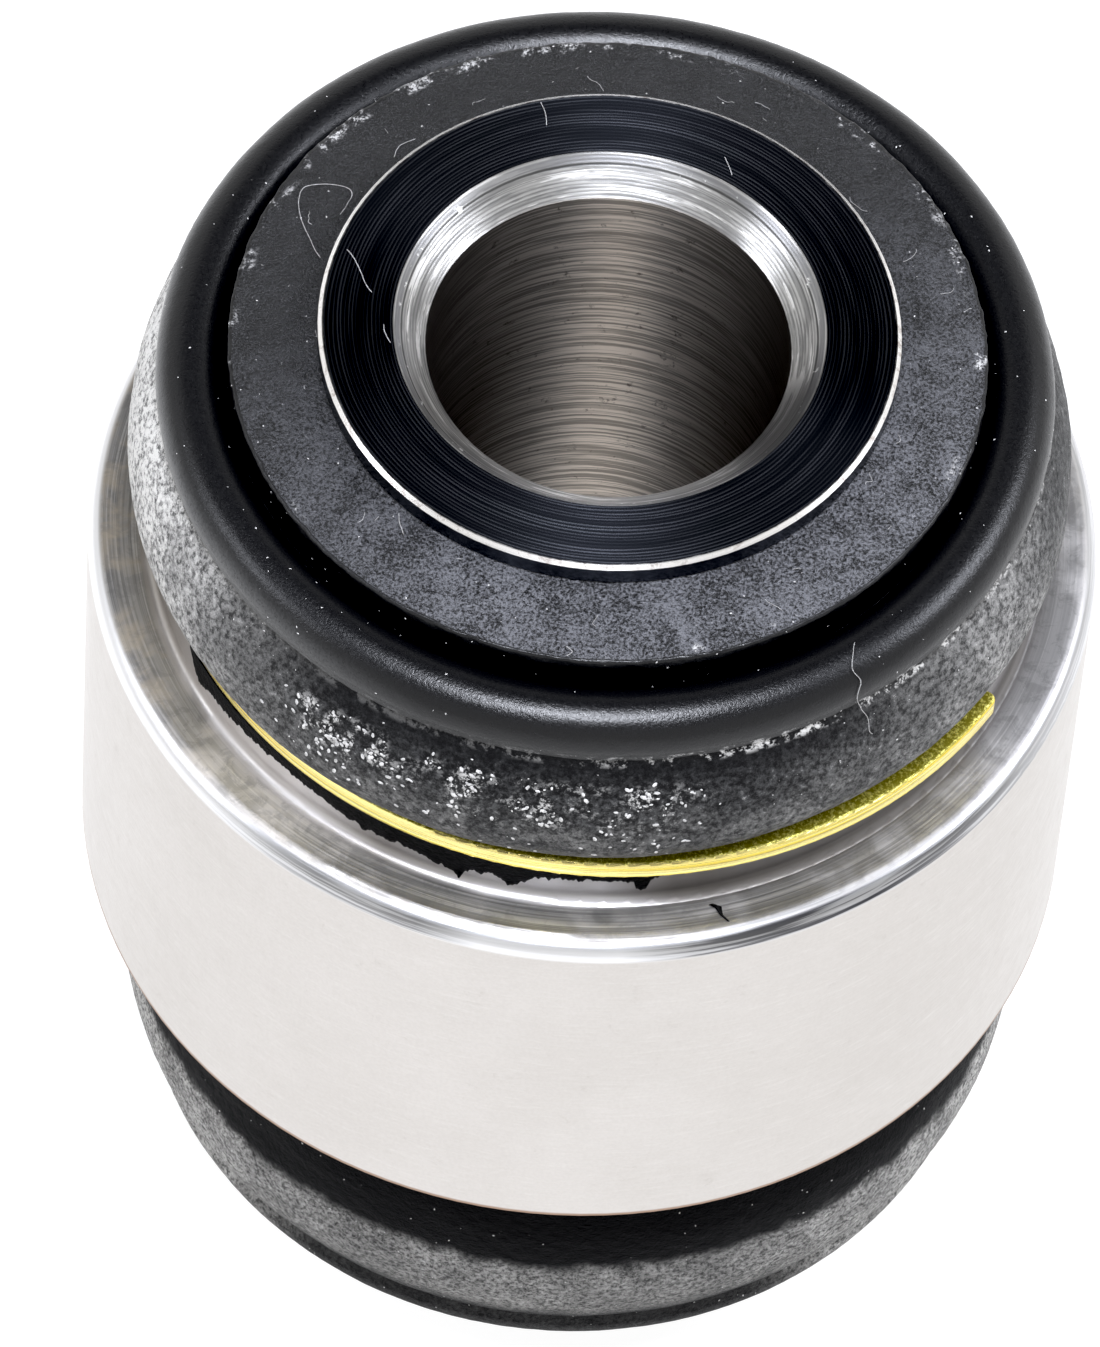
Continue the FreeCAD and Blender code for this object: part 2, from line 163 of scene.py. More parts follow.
class Paint(Tree):
    """A material's node tree, with short calls for the nodes that the finishes share."""

    def __init__(self, name: str) -> None:
        """Makes an empty material.

        Args:
            name: the material's name.
        """
        self.material = bpy.data.materials.new(name)
        self.material.use_nodes = True
        super().__init__(self.material.node_tree)

    def stored(self, name: str) -> Socket:
        """Reads a number that the mesh stores at each point."""
        return self.add("ShaderNodeAttribute", attribute_name=name).outputs["Fac"]

    def math(self, operation: str, first: Value, second: Value = 0.0, clamp: bool = False) -> Socket:
        """Adds a Math node.

        Args:
            operation: its operation.
            first: the first value.
            second: the second value.
            clamp: whether the result is kept between 0 and 1.

        Returns:
            The result.
        """
        inputs = {0: first, 1: second}
        return self.add("ShaderNodeMath", inputs, operation=operation, use_clamp=clamp).outputs[0]

    def times(self, first: Value, second: Value) -> Socket:
        """Multiplies two values.

        Args:
            first: the first value.
            second: the second value.

        Returns:
            Their product.
        """
        return self.math("MULTIPLY", first, second)

    def plus(self, first: Value, second: Value) -> Socket:
        """Adds two values.

        Args:
            first: the first value.
            second: the second value.

        Returns:
            Their sum.
        """
        return self.math("ADD", first, second)

    def span(
        self, value: Value, low: float, high: float, to_low: Value = 0.0, to_high: Value = 1.0
    ) -> Socket:
        """Maps a value smoothly from one range to another and clamps it.

        Args:
            value: the value.
            low: where the range starts.
            high: where it ends; it may be below low.
            to_low: the result at low.
            to_high: the result at high.

        Returns:
            The mapped value.
        """
        if low > high:
            low, high, to_low, to_high = high, low, to_high, to_low
        inputs = dict(enumerate((value, low, high, to_low, to_high)))
        return self.add("ShaderNodeMapRange", inputs, interpolation_type="SMOOTHSTEP", clamp=True).outputs[0]

    def band(self, value: Value, low: float, high: float, soft: float) -> Socket:
        """A mask that is 1 between two levels and fades out over soft on each side.

        Args:
            value: the value tested.
            low: lower level.
            high: upper level.
            soft: width of each fade.

        Returns:
            The mask.
        """
        rise = self.span(value, low - soft, low + soft)
        return self.times(rise, self.span(value, high + soft, high - soft))

    def mix(self, factor: Value, first: Value, second: Value) -> Socket:
        """Mixes two colours.

        Args:
            factor: share of the second.
            first: colour at 0.
            second: colour at 1.

        Returns:
            The mixed colour.
        """
        return self.add("ShaderNodeMix", {0: factor, 6: first, 7: second}, data_type="RGBA").outputs[2]

    def blend(self, factor: Value, first: Value, second: Value) -> Socket:
        """Mixes two numbers.

        Args:
            factor: share of the second.
            first: number at 0.
            second: number at 1.

        Returns:
            The mixed number.
        """
        return self.add("ShaderNodeMix", {0: factor, 2: first, 3: second}, data_type="FLOAT").outputs[0]

    def ramp(self, value: Value, stops: Ramp) -> Socket:
        """Maps a value from 0 to 1 through a run of stops.

        Args:
            value: the value.
            stops: pairs of a position and the result there, by rising position.

        Returns:
            The mapped value.
        """
        node = self.add("ShaderNodeValToRGB", {0: value})
        points = node.color_ramp.elements
        while len(points) < len(stops):
            points.new(0.5)
        for point, (position, result) in zip(points, stops):
            point.position = position
            point.color = (result, result, result, 1.0)
        return node.outputs[0]

    def vector(self, x: Value, y: Value, z: Value) -> Socket:
        """Joins three numbers to a vector.

        Args:
            x: first number.
            y: second number.
            z: third number.

        Returns:
            The vector.
        """
        return self.add("ShaderNodeCombineXYZ", {0: x, 1: y, 2: z}).outputs[0]

    def noise(
        self, vector: Socket, scale: float, detail: float = 3.0, rough: float = 0.55, twist: float = 0.0
    ) -> Socket:
        """Adds a noise texture.

        Args:
            vector: where it is read.
            scale: its fineness.
            detail: its octaves.
            rough: weight of the finer octaves.
            twist: its distortion.

        Returns:
            The noise, about 0 to 1.
        """
        inputs = {"Vector": vector, "Scale": scale, "Detail": detail, "Roughness": rough, "Distortion": twist}
        return self.add("ShaderNodeTexNoise", inputs).outputs[0]

    def bump(self, height: Socket, depth: float) -> Socket:
        """Adds a bump.

        Args:
            height: the height, about 0 to 1.
            depth: its depth in millimetres.

        Returns:
            The normal.
        """
        inputs = {"Strength": 1.0, "Distance": depth * MM, "Height": height}
        return self.add("ShaderNodeBump", inputs).outputs[0]

    def shade(self, **inputs: Value) -> bpy.types.Material:
        """Ends the tree in a Principled shader.

        Args:
            inputs: its inputs by name, with _ for a space.

        Returns:
            The finished material.
        """
        named = {key.replace("_", " "): value for key, value in inputs.items()}
        shader = self.add("ShaderNodeBsdfPrincipled", named)
        self.add("ShaderNodeOutputMaterial", {"Surface": shader.outputs[0]})
        return self.material


class Place:
    """Where a shaded point lies, in millimetres, round the bush's axis."""

    def __init__(self, paint: Paint, attribute: str = "") -> None:
        """Reads the point from the piece's own coordinates.

        Args:
            paint: the material's tree.
            attribute: a rest position kept on the mesh; else Object coordinates.
        """
        self.paint = paint
        if attribute:
            source = paint.add("ShaderNodeAttribute", attribute_name=attribute).outputs["Vector"]
        else:
            source = paint.add("ShaderNodeTexCoord").outputs["Object"]
        self.at = paint.add("ShaderNodeVectorMath", {0: source, 3: 1 / MM}, operation="SCALE").outputs[0]
        self.x, self.y, self.z = paint.add("ShaderNodeSeparateXYZ", {0: self.at}).outputs
        squares = paint.plus(paint.times(self.x, self.x), paint.times(self.y, self.y))
        self.radius = paint.math("SQRT", squares)
        self.height = paint.math("ABSOLUTE", self.z)
        self.cos = paint.math("DIVIDE", self.x, self.radius)
        self.sin = paint.math("DIVIDE", self.y, self.radius)
        self.across = paint.times(paint.plus(self.cos, 1.0), 0.5)

    def rings(self, along: Socket, pitch: float, wander: float = 1.0, detail: float = 2.0) -> Socket:
        """Noise drawn out round the axis, like turning marks.

        Args:
            along: the value that the marks step along, such as the radius or the height.
            pitch: millimetres from mark to mark.
            wander: how fast the marks change round the axis.
            detail: octaves of the noise.

        Returns:
            The noise.
        """
        p = self.paint
        around = p.vector(p.times(self.cos, wander), p.times(self.sin, wander), p.times(along, 1 / pitch))
        return p.noise(around, 1.0, detail)


@dataclass(frozen=True)
class HousingSteel:
    """Turned and ground housing: satin outside, polished corner, stained shoulder and neck, with painted
    reflection and painted shade round the axis on the shoulder, neck and corner.
    """

    satin: Colour = (0.605, 0.577, 0.550)
    satin_dull: Colour = (0.51, 0.482, 0.45)
    satin_light: Colour = (0.70, 0.675, 0.65)
    smudged: Colour = (0.44, 0.41, 0.38)
    polished: Colour = (0.86, 0.86, 0.87)
    streaky_dark_reflection: Colour = (0.045, 0.045, 0.05)
    shoulder: Colour = (0.44, 0.43, 0.42)
    groove: Colour = (0.17, 0.167, 0.163)
    stain: Colour = (0.27, 0.225, 0.16)
    neck_reflection: Colour = (0.72, 0.71, 0.72)
    neck_shade_and_grime: Colour = (0.13, 0.12, 0.11)
    warm_reflection: Colour = (0.73, 0.68, 0.60)
    burnt_edge: Colour = (0.30, 0.185, 0.12)
    neck_stain: Colour = (0.55, 0.49, 0.41)
    # Painted dark reflection on the corner, by place round the axis.
    dark_reflection_round: Ramp = (
        (0.0, 0.0), (0.15, 0.15), (0.26, 0.60), (0.36, 0.65), (0.42, 0.10), (0.56, 0.10), (0.63, 0.80),
        (0.80, 1.0), (0.93, 0.6), (1.0, 0.3),
    )
    # Painted reflection and shade on the neck, by place round the axis.
    neck_reflection_round: Ramp = (
        (0.0, 0.30), (0.09, 0.75), (0.20, 1.0), (0.30, 0.45), (0.44, 0.90), (0.54, 0.85), (0.62, 0.22),
        (0.85, 0.30), (1.0, 0.45),
    )
    # Painted reflection on the shoulder: how far it lightens, by place round the axis.
    face_reflection_round: Ramp = (
        (0.0, 0.10), (0.08, 0.20), (0.15, 0.70), (0.24, 0.45), (0.34, 0.10), (0.55, 0.0), (0.80, 0.20),
        (1.0, 0.55),
    )
    face_shade: Ramp = (
        (0.0, 0.0), (0.24, 0.0), (0.34, 0.25), (0.50, 0.05), (0.60, 0.35), (0.72, 0.65), (0.86, 0.30),
        (0.95, 0.0),
    )
    corner_radius: float = 19.55
    neck_radius: float = 17.95
    fillet_band: Point = (17.50, 17.85)
    corner_level: float = 11.0
    corner_round: float = 0.8
    edge_level: float = -7.6

    def material(self) -> bpy.types.Material:
        """Builds the material.

        Returns:
            The material.
        """
        p = Paint("ground_housing_steel")
        at = Place(p)
        top = p.span(at.z, self.corner_level - 0.05, self.corner_level + 0.15)
        inside = p.span(at.radius, self.corner_radius + 0.10, self.corner_radius - 0.12)
        flat = p.times(top, inside)
        corner = p.math("SUBTRACT", top, flat, clamp=True)
        neck = p.times(top, p.span(at.radius, self.neck_radius + 0.15, self.neck_radius - 0.1))

        grain = at.rings(at.z, 0.16, 14.0, 2.0)
        cloud = p.noise(at.at, 0.16, 2.0, 0.5)
        smudge = p.noise(at.at, 1.1, 5.0, 0.75, 0.6)
        turned = at.rings(at.radius, 0.11, 1.6, 3.0)
        broad = at.rings(at.radius, 0.40, 1.2, 3.0)
        stains = p.span(p.noise(at.at, 0.5, 4.0, 0.6, 0.4), 0.44, 0.68)

        satin = p.mix(p.span(cloud, 0.35, 0.7, 0.0, 0.25), self.satin, self.satin_dull)
        satin = p.mix(p.span(at.cos, 0.0, 0.8, 0.0, 0.5), satin, self.satin_dull)
        satin = p.mix(p.span(grain, 0.5, 0.8, 0.0, 0.3), satin, self.satin_light)
        satin = p.mix(p.span(smudge, 0.60, 0.78, 0.0, 0.45), satin, self.smudged)
        satin = p.mix(p.span(p.noise(at.at, 7.0, 1.0), 0.35, 0.65, 0.0, 0.12), satin, self.smudged)

        face = p.mix(p.span(turned, 0.38, 0.62), self.groove, self.shoulder)
        face = p.mix(p.span(broad, 0.42, 0.60, 0.0, 0.55), face, self.groove)
        left = p.span(at.cos, 0.1, -0.9, 0.10, 0.75)
        face = p.mix(p.times(stains, left), face, self.stain)
        # Painted reflection: the shoulder lightens by place round the axis, towards a lavender reflection
        # that is warmer on the left.
        face = p.mix(p.ramp(at.across, self.face_reflection_round), face, p.mix(left, self.neck_reflection, self.warm_reflection))
        face = p.mix(p.span(smudge, 0.48, 0.60, 0.0, 0.30), face, self.groove)
        shade = p.times(p.ramp(at.across, self.face_shade), p.span(turned, 0.62, 0.42, 0.6, 1.0))
        face = p.mix(shade, face, self.groove)
        # Painted reflection and shade: the neck runs between a shaded and a reflecting copy of the same
        # steel, by place round the axis.
        tone = p.times(p.ramp(at.across, self.neck_reflection_round), p.span(broad, 0.35, 0.65, 1.1, 0.6))
        face = p.mix(neck, face, p.mix(tone, self.neck_shade_and_grime, self.neck_reflection))
        face = p.mix(p.times(neck, p.times(left, 0.4)), face, self.neck_stain)

        crevice = p.times(flat, p.band(at.radius, *self.fillet_band, 0.06))
        crevice = p.times(crevice, p.span(at.cos, 0.05, 0.35))
        face = p.mix(p.times(crevice, 0.75), face, self.neck_shade_and_grime)

        # Painted dark reflection: the polished corner turns dark in streaks by place round the axis, most on
        # the right and least at the front and back.
        rubbed = p.span(at.rings(at.z, 0.10, 3.0, 3.0), 0.40, 0.58)
        where = p.times(p.ramp(at.across, self.dark_reflection_round), p.plus(0.45, p.times(rubbed, 0.55)))
        deep = p.band(at.z, self.corner_level + 0.06, self.corner_level + 0.88 * self.corner_round, 0.06)
        corner_colour = p.mix(p.times(where, 0.5), self.polished, self.shoulder)
        corner_colour = p.mix(p.times(deep, where), corner_colour, self.streaky_dark_reflection)
        colour = p.mix(flat, p.mix(corner, satin, corner_colour), face)
        edge = p.times(p.span(at.z, self.edge_level + 0.02, self.edge_level - 0.12), 0.9)
        colour = p.mix(edge, colour, self.burnt_edge)

        rough = p.blend(p.span(smudge, 0.3, 0.7), 0.32, 0.40)
        rough = p.blend(corner, rough, 0.32)
        rough = p.blend(flat, rough, p.blend(stains, 0.42, 0.54))
        rough = p.blend(crevice, rough, 0.65)
        lines = p.times(turned, p.blend(neck, 0.5, 0.0))
        normal = p.bump(p.blend(top, grain, lines), 0.02)
        return p.shade(Base_Color=colour, Metallic=1.0, Roughness=rough, Normal=normal)


@dataclass(frozen=True)
class SleeveSteel:
    """Turned sleeve: dark mirror of an end face, bright bevels and a brown-grey bore, with painted shade on
    the bore's sides, the land and the bevel's front right, and painted highlights on the bevel.
    """

    face: Colour = (0.050, 0.054, 0.066)
    bright: Colour = (0.60, 0.595, 0.585)
    bore: Colour = (0.96, 0.885, 0.81)
    ball: Colour = (0.55, 0.55, 0.55)
    land_shadow: Colour = (0.015, 0.015, 0.016)
    bore_groove: Colour = (0.40, 0.37, 0.335)
    bore_worn: Colour = (0.08, 0.066, 0.052)
    bore_shade: Colour = (0.02, 0.018, 0.016)
    face_ridge: Colour = (0.30, 0.32, 0.37)
    bevel_groove: Colour = (0.36, 0.355, 0.35)
    drag_mark: Colour = (0.20, 0.20, 0.20)
    glint: Colour = (1.0, 0.99, 0.98)
    bevel_outer: Colour = (0.30, 0.30, 0.31)
    dark_line: Colour = (0.06, 0.06, 0.06)
    # Painted highlight: the white of the blotches on the bevel.
    nick: Colour = (1.0, 1.0, 1.0)
    bevel_shaded: Colour = (0.10, 0.10, 0.105)
    rim_worn: Colour = (0.62, 0.56, 0.53)
    rim_bright: Colour = (1.0, 0.98, 0.96)
    bore_radius: float = 7.1
    bevel_radius: float = 8.4
    rim_radius: float = 11.10
    rim_drop: float = 0.16
    end_level: float = 25.4
    bevel: float = 1.3
    face_pitch: float = 0.15
    bevel_pitch: float = 0.11

    def material(self) -> bpy.types.Material:
        """Builds the material.

        Returns:
            The material.
        """
        p = Paint("turned_sleeve_steel")
        at = Place(p)
        bevel_foot = self.end_level - self.bevel
        near_end = p.span(at.height, bevel_foot - 0.02, bevel_foot + 0.05)
        in_bore = p.span(at.radius, self.bore_radius + 0.06, self.bore_radius + 0.02)
        bevel = p.times(near_end, p.span(at.radius, self.bevel_radius + 0.03, self.bevel_radius - 0.03))
        worn = p.noise(at.at, 1.6, 4.0, 0.7, 0.3)
        wander = p.times(p.math("SUBTRACT", worn, 0.5), 0.16)
        rim_at = p.plus(at.radius, wander)
        rim_foot = self.end_level - self.rim_drop
        at_edge = p.span(at.height, rim_foot - 0.04, rim_foot + 0.02)
        rim = p.times(at_edge, p.span(rim_at, self.rim_radius - 0.02, self.rim_radius + 0.04))
        face = p.times(near_end, p.span(at.radius, self.bevel_radius - 0.02, self.bevel_radius + 0.04))

        turned = self.grooves(p, at, self.face_pitch, 0.22)
        fine = self.grooves(p, at, self.bevel_pitch, 0.12)
        bored = at.rings(at.z, 0.12, 1.5, 3.0)

        bore = p.mix(p.span(bored, 0.40, 0.60), self.bore_groove, self.bore)
        bore = p.mix(p.span(worn, 0.60, 0.74, 0.0, 0.8), bore, self.bore_worn)
        # Painted shade: the bore turns near black towards its sides round X, so it stays bright only at the
        # front and back.
        side_shade = p.span(p.math("ABSOLUTE", at.cos), 0.10, 1.0, 0.0, 0.97)
        bore = p.mix(side_shade, bore, self.bore_shade)
        # Painted shadow: the land just below the end face is near black.
        outside = p.mix(p.span(at.height, self.end_level - 1.4, self.end_level - 1.2), self.ball, self.land_shadow)
        colour = p.mix(in_bore, outside, bore)
        end = p.mix(p.span(turned, 0.55, 0.95, 0.0, 0.7), self.face, self.face_ridge)
        colour = p.mix(face, colour, end)
        ringed = p.mix(p.span(fine, 0.1, 0.7), self.bevel_groove, self.bright)
        drag = at.rings(at.radius, 0.22, 2.2, 4.0)
        ringed = p.mix(p.span(drag, 0.5, 0.40, 0.0, 0.6), ringed, self.drag_mark)
        ringed = p.mix(p.span(drag, 0.56, 0.62), ringed, self.glint)
        outer = p.band(at.radius, 8.12, 8.32, 0.03)
        dark = p.math("MAXIMUM", p.band(at.radius, 8.03, 8.10, 0.02), p.band(at.radius, 7.86, 7.875, 0.015))
        ringed = p.mix(p.times(outer, 0.75), ringed, self.bevel_outer)
        ringed = p.mix(p.times(dark, 0.8), ringed, self.dark_line)
        # Painted highlights: white blotches on the bevel's bright band.
        highlight_blotches = p.times(p.band(at.radius, 8.0, 8.2, 0.05), p.span(worn, 0.60, 0.66))
        ringed = p.mix(highlight_blotches, ringed, self.nick)
        shaded = p.times(p.span(at.sin, 0.05, -0.30), p.span(at.cos, 0.50, 0.85, 0.0, 0.75))
        ringed = p.mix(shaded, ringed, self.bevel_shaded)
        colour = p.mix(bevel, colour, ringed)
        colour = p.mix(rim, colour, p.mix(p.span(worn, 0.3, 0.5), self.rim_worn, self.rim_bright))

        rough = p.blend(in_bore, 0.3, 0.36)
        rough = p.blend(face, rough, 0.24)
        rough = p.blend(bevel, rough, 0.30)
        rough = p.blend(rim, rough, 0.25)
        marks = p.blend(face, p.blend(bevel, bored, p.times(fine, 0.4)), p.times(turned, 0.45))
        normal = p.bump(marks, 0.012)
        across = p.mix(in_bore, p.vector(at.x, at.y, 0.0), (0.0, 0.0, 1.0))
        ways = {"vector_type": "VECTOR", "convert_from": "OBJECT", "convert_to": "WORLD"}
        tangent = p.add("ShaderNodeVectorTransform", {0: across}, **ways).outputs[0]
        return p.shade(
            Base_Color=colour,
            Metallic=1.0,
            Roughness=rough,
            Normal=normal,
            Anisotropic=0.75,
            Tangent=tangent,
        )

    def grooves(self, p: Paint, at: Place, pitch: float, unrest: float) -> Socket:
        """Even turning grooves that step along the radius and fade in and out a little.

        Args:
            p: the material's tree.
            at: the shaded place.
            pitch: millimetres from groove to groove.
            unrest: how far a groove strays, in millimetres.

        Returns:
            The grooves, about 0 to 1.
        """
        stray = at.rings(at.radius, 0.5, 1.2, 2.0)
        strayed = p.plus(at.radius, p.times(stray, unrest))
        wave = p.math("SINE", p.times(strayed, 2 * math.pi / pitch))
        strength = p.span(at.rings(at.radius, 0.35, 1.5, 2.0), 0.3, 0.7, 0.15, 0.5)
        return p.plus(p.times(wave, strength), 0.5)


def dusty_line(p: Paint, at: Place, run: Socket, low: float, high: float, least: float) -> Socket:
    """Broken dust along an edge of a boot.

    Args:
        p: the material's tree.
        at: the shaded place.
        run: how far the place has run along the outline.
        low: where the line starts.
        high: where it ends.
        least: noise level above which there is dust; lower means more of it.

    Returns:
        The dust's mask.
    """
    broken = p.span(p.noise(at.at, 1.1, 4.0, 0.75), least, least + 0.1)
    return p.times(p.band(run, low, high, 0.03), broken)


def dusty_crease(p: Paint, at: Place, run: Socket, past: float) -> Socket:
    """Broken dust along a boot's crease, thicker at the right.

    Args:
        p: the material's tree.
        at: the shaded place.
        run: how far the place has run along the outline.
        past: how far the dust reaches past the crease.

    Returns:
        The dust's mask.
    """
    dust = dusty_line(p, at, run, Zone.CREASE - 0.10, Zone.CREASE + past, 0.50)
    return p.times(dust, p.span(at.cos, -0.3, 0.6, 0.12, 1.0))


@dataclass(frozen=True)
class BareRubber:
    """Top of a boot: charcoal roof with grey blotches, partly a real grey film on the rubber and partly
    painted sheen that grows towards the front right, black cleft and glossy bulge.
    """

    name: str = "boot_top_rubber"
    black: Colour = (0.0035, 0.0035, 0.004)
    roof: Colour = (0.003, 0.003, 0.0035)
    sheen_and_bloom: Colour = (0.135, 0.137, 0.150)
    dust: Colour = (0.55, 0.545, 0.54)
    powder: Colour = (0.30, 0.30, 0.30)
    roof_sheen_falloff: Ramp = ((0.0, 0.03), (0.35, 0.09), (0.6, 0.50), (0.85, 1.0), (1.0, 0.95))
    side_dust: float = 0.25
    gloss: float = 0.42

    def material(self) -> bpy.types.Material:
        """Builds the material.

        Returns:
            The material.
        """
        p = Paint(self.name)
        at = Place(p, "rest")
        run = p.stored("run")
        grain = p.noise(at.at, 8.0, 2.0, 0.8)
        patch = p.noise(at.at, 0.5, 3.0, 0.65, 0.4)

        roof = p.span(run, Zone.ROOF_EDGE + 0.05, Zone.ROOF_EDGE - 0.03)
        bulge = p.span(run, Zone.CLEFT + 0.10, Zone.CLEFT + 0.40)
        # Painted sheen: the roof's grey blotches grow stronger towards the front right.
        towards = p.plus(p.times(at.cos, 0.18), p.times(at.sin, -0.42))
        lit = p.ramp(p.plus(towards, 0.5), self.roof_sheen_falloff)
        sheen_and_bloom = p.span(p.plus(grain, p.times(patch, 0.4)), 0.56, 0.86)
        colour = p.mix(p.times(sheen_and_bloom, lit), self.roof, self.sheen_and_bloom)
        colour = p.mix(roof, self.black, colour)
        colour = p.mix(p.times(roof, p.span(grain, 0.72, 0.80, 0.0, 0.7)), colour, self.dust)

        outer = p.span(run, Zone.BULGE_TOP + 0.35, Zone.CREASE - 0.25)
        powder = p.times(outer, p.span(at.cos, -0.30, -0.80, 0.0, self.side_dust))
        powder = p.times(powder, p.span(grain, 0.35, 0.65, 0.35, 0.8))
        colour = p.mix(powder, colour, self.powder)

        far = p.plus(patch, p.span(at.sin, -0.2, 0.5, 0.0, 0.17))
        rim_dust = dusty_line(p, at, run, Zone.ROOF_EDGE - 0.10, Zone.ROOF_EDGE + 0.12, 0.5)
        rim_dust = p.times(rim_dust, p.span(far, 0.57, 0.69))
        dust = p.math("MAXIMUM", rim_dust, dusty_crease(p, at, run, 0.06))
        lines = p.times(dust, p.span(grain, 0.38, 0.55))
        colour = p.mix(p.times(lines, 0.9), colour, self.dust)

        rough = p.blend(bulge, p.span(grain, 0.3, 0.7, 0.28, 0.42), p.span(grain, 0.3, 0.7, 0.27, 0.35))
        rough = p.blend(lines, rough, 0.9)
        normal = p.bump(p.times(grain, p.blend(roof, 0.10, 1.0)), 0.16)
        return p.shade(Base_Color=colour, Roughness=rough, Normal=normal, Specular_IOR_Level=self.gloss)


@dataclass(frozen=True)
class TalcedRubber:
    """Wall of a boot: black rubber under talc, which lies thick where "dust" says so round the boot; its
    light sides are partly talc and partly painted sheen, the front and back stay black under the crease as
    painted shade, and the wall can be kept black up to a given height as painted shadow.
    """

    name: str = "boot_wall_rubber"
    black: Colour = (0.003, 0.003, 0.0035)
    worn: Colour = (0.045, 0.046, 0.048)
    talc: Colour = (0.62, 0.61, 0.59)
    # Partly painted sheen: the dust lies thickest at the sides round the axis.
    dust: Ramp = (
        (0.0, 0.90), (0.04, 0.60), (0.115, 0.17), (0.25, 0.02), (0.70, 0.025), (0.87, 0.10), (0.95, 0.28),
        (0.985, 0.14), (1.0, 0.06),
    )
    fineness: float = 3.6
    low_dust: float = 0.07
    # Painted shadow: height up to which the wall is kept black and free of dust.
    shadow_until: float = 0.0
    crumbly: float = 0.35
    crease_dust: float = 0.9
    depth: float = 0.08
    gloss: float = 0.12

    def material(self) -> bpy.types.Material:
        """Builds the material.

        Returns:
            The material.
        """
        p = Paint(self.name)
        at = Place(p, "rest")
        run = p.stored("run")
        talc_map = p.stored("talc")
        speck = p.noise(at.at, self.fineness, 4.0, 0.8)
        patch = p.noise(at.at, 0.6, 3.0, 0.65, 0.4)

        # Dust round the axis, lighter at the sides as partly talc and partly painted sheen.
        film = p.ramp(at.across, self.dust)
        low = p.span(run, Zone.CREASE + 0.45, Zone.BELLY + 0.1, 0.0, self.low_dust)
        film = p.plus(film, p.times(low, p.span(patch, 0.35, 0.65, 0.4, 1.6)))
        film = p.times(film, p.span(speck, 0.34, 0.62, 0.15, 1.5))
        film = p.times(film, p.span(patch, 0.32, 0.68, 0.75, 1.25))
        # Painted shade: at the front and back the dust thins out just under the crease, so the wall stays
        # black there under the bulge.
        front = p.span(p.math("ABSOLUTE", at.cos), 0.45, 0.75)
        spread = p.math("MAXIMUM", p.span(run, Zone.CREASE + 0.1, Zone.CREASE + 0.6, 0.1, 1.0), front)
        film = p.times(film, spread)
        spots = p.times(p.span(speck, 0.62, 0.72, 0.0, self.crumbly), spread)
        dust = p.math("ADD", film, spots, clamp=True)
        dust = p.math("MAXIMUM", dust, p.times(talc_map, p.span(speck, 0.49, 0.60, 0.0, 0.75)))
        wear = p.times(p.span(speck, 0.40, 0.70), p.span(run, Zone.CREASE, Zone.CREASE + 0.5, 0.15, 1.0))
        colour = p.mix(wear, self.black, self.worn)
        dust = p.math("MAXIMUM", dust, p.times(dusty_crease(p, at, run, 0.08), self.crease_dust))
        # Painted shadow: up to a given height near the housing the wall is kept black and free of dust.
        if self.shadow_until:
            level = p.plus(at.height, p.times(patch, 1.2))
            clear = p.span(level, self.shadow_until, self.shadow_until + 0.9)
            dust = p.times(dust, clear)
            colour = p.mix(clear, self.black, colour)
        colour = p.mix(dust, colour, self.talc)
        rough = p.blend(dust, 0.5, 0.9)
        normal = p.bump(speck, self.depth)
        return p.shade(Base_Color=colour, Roughness=rough, Normal=normal, Specular_IOR_Level=self.gloss)


@dataclass(frozen=True)
class YellowWire:
    """Yellow passivated spring wire: bright outside, and a flat top painted a dark yellow-green as its dark
    reflection, with lemon specks worn through.
    """

    bright: Colour = (1.0, 0.86, 0.33)
    shaded: Colour = (0.80, 0.62, 0.10)
    olive_dark_reflection: Colour = (0.20, 0.175, 0.006)
    lemon: Colour = (1.0, 0.93, 0.25)
    levels: Point = (14.90, 11.10)

    def material(self) -> bpy.types.Material:
        """Builds the material.

        Returns:
            The material.
        """
        p = Paint("passivated_wire")
        at = Place(p)
        mottled = p.noise(at.at, 7.0, 3.0, 0.7)
        drawn = at.rings(at.z, 0.16, 0.8, 2.0)
        upper = p.span(at.z, self.levels[0] - 0.03, self.levels[0] + 0.03)
        lower = p.span(at.z, 0.03 - self.levels[1], -0.03 - self.levels[1])
        top = p.math("MAXIMUM", upper, lower)
        outside = p.mix(p.span(drawn, 0.45, 0.62), self.bright, self.shaded)
        # Painted dark reflection: the flat top is a dark copy of the wire's yellow.
        flat = p.mix(p.span(mottled, 0.46, 0.68), self.olive_dark_reflection, self.lemon)
        colour = p.mix(top, outside, flat)
        rough = p.blend(top, 0.24, 0.36)
        normal = p.bump(p.blend(top, drawn, mottled), 0.04)
        metal = p.blend(top, 1.0, p.span(mottled, 0.46, 0.62, 0.2, 0.9))
        return p.shade(Base_Color=colour, Metallic=metal, Roughness=rough, Normal=normal)


@dataclass(frozen=True)
class PlainFinish:
    """A finish with one colour, a mottled shade of it and a fine grain."""

    name: str
    base: Colour
    shade_colour: Colour
    rough: float = 0.6
    metallic: float = 0.0
    grain: float = 6.0
    depth: float = 0.02
    gloss: float = 0.5

    def material(self) -> bpy.types.Material:
        """Builds the material.

        Returns:
            The material.
        """
        p = Paint(self.name)
        at = Place(p)
        mottled = p.noise(at.at, self.grain, 4.0, 0.65)
        colour = p.mix(p.span(mottled, 0.35, 0.65), self.base, self.shade_colour)
        rough = p.blend(mottled, self.rough - 0.1, self.rough + 0.1)
        normal = p.bump(mottled, self.depth)
        return p.shade(
            Base_Color=colour,
            Metallic=self.metallic,
            Roughness=rough,
            Normal=normal,
            Specular_IOR_Level=self.gloss,
        )


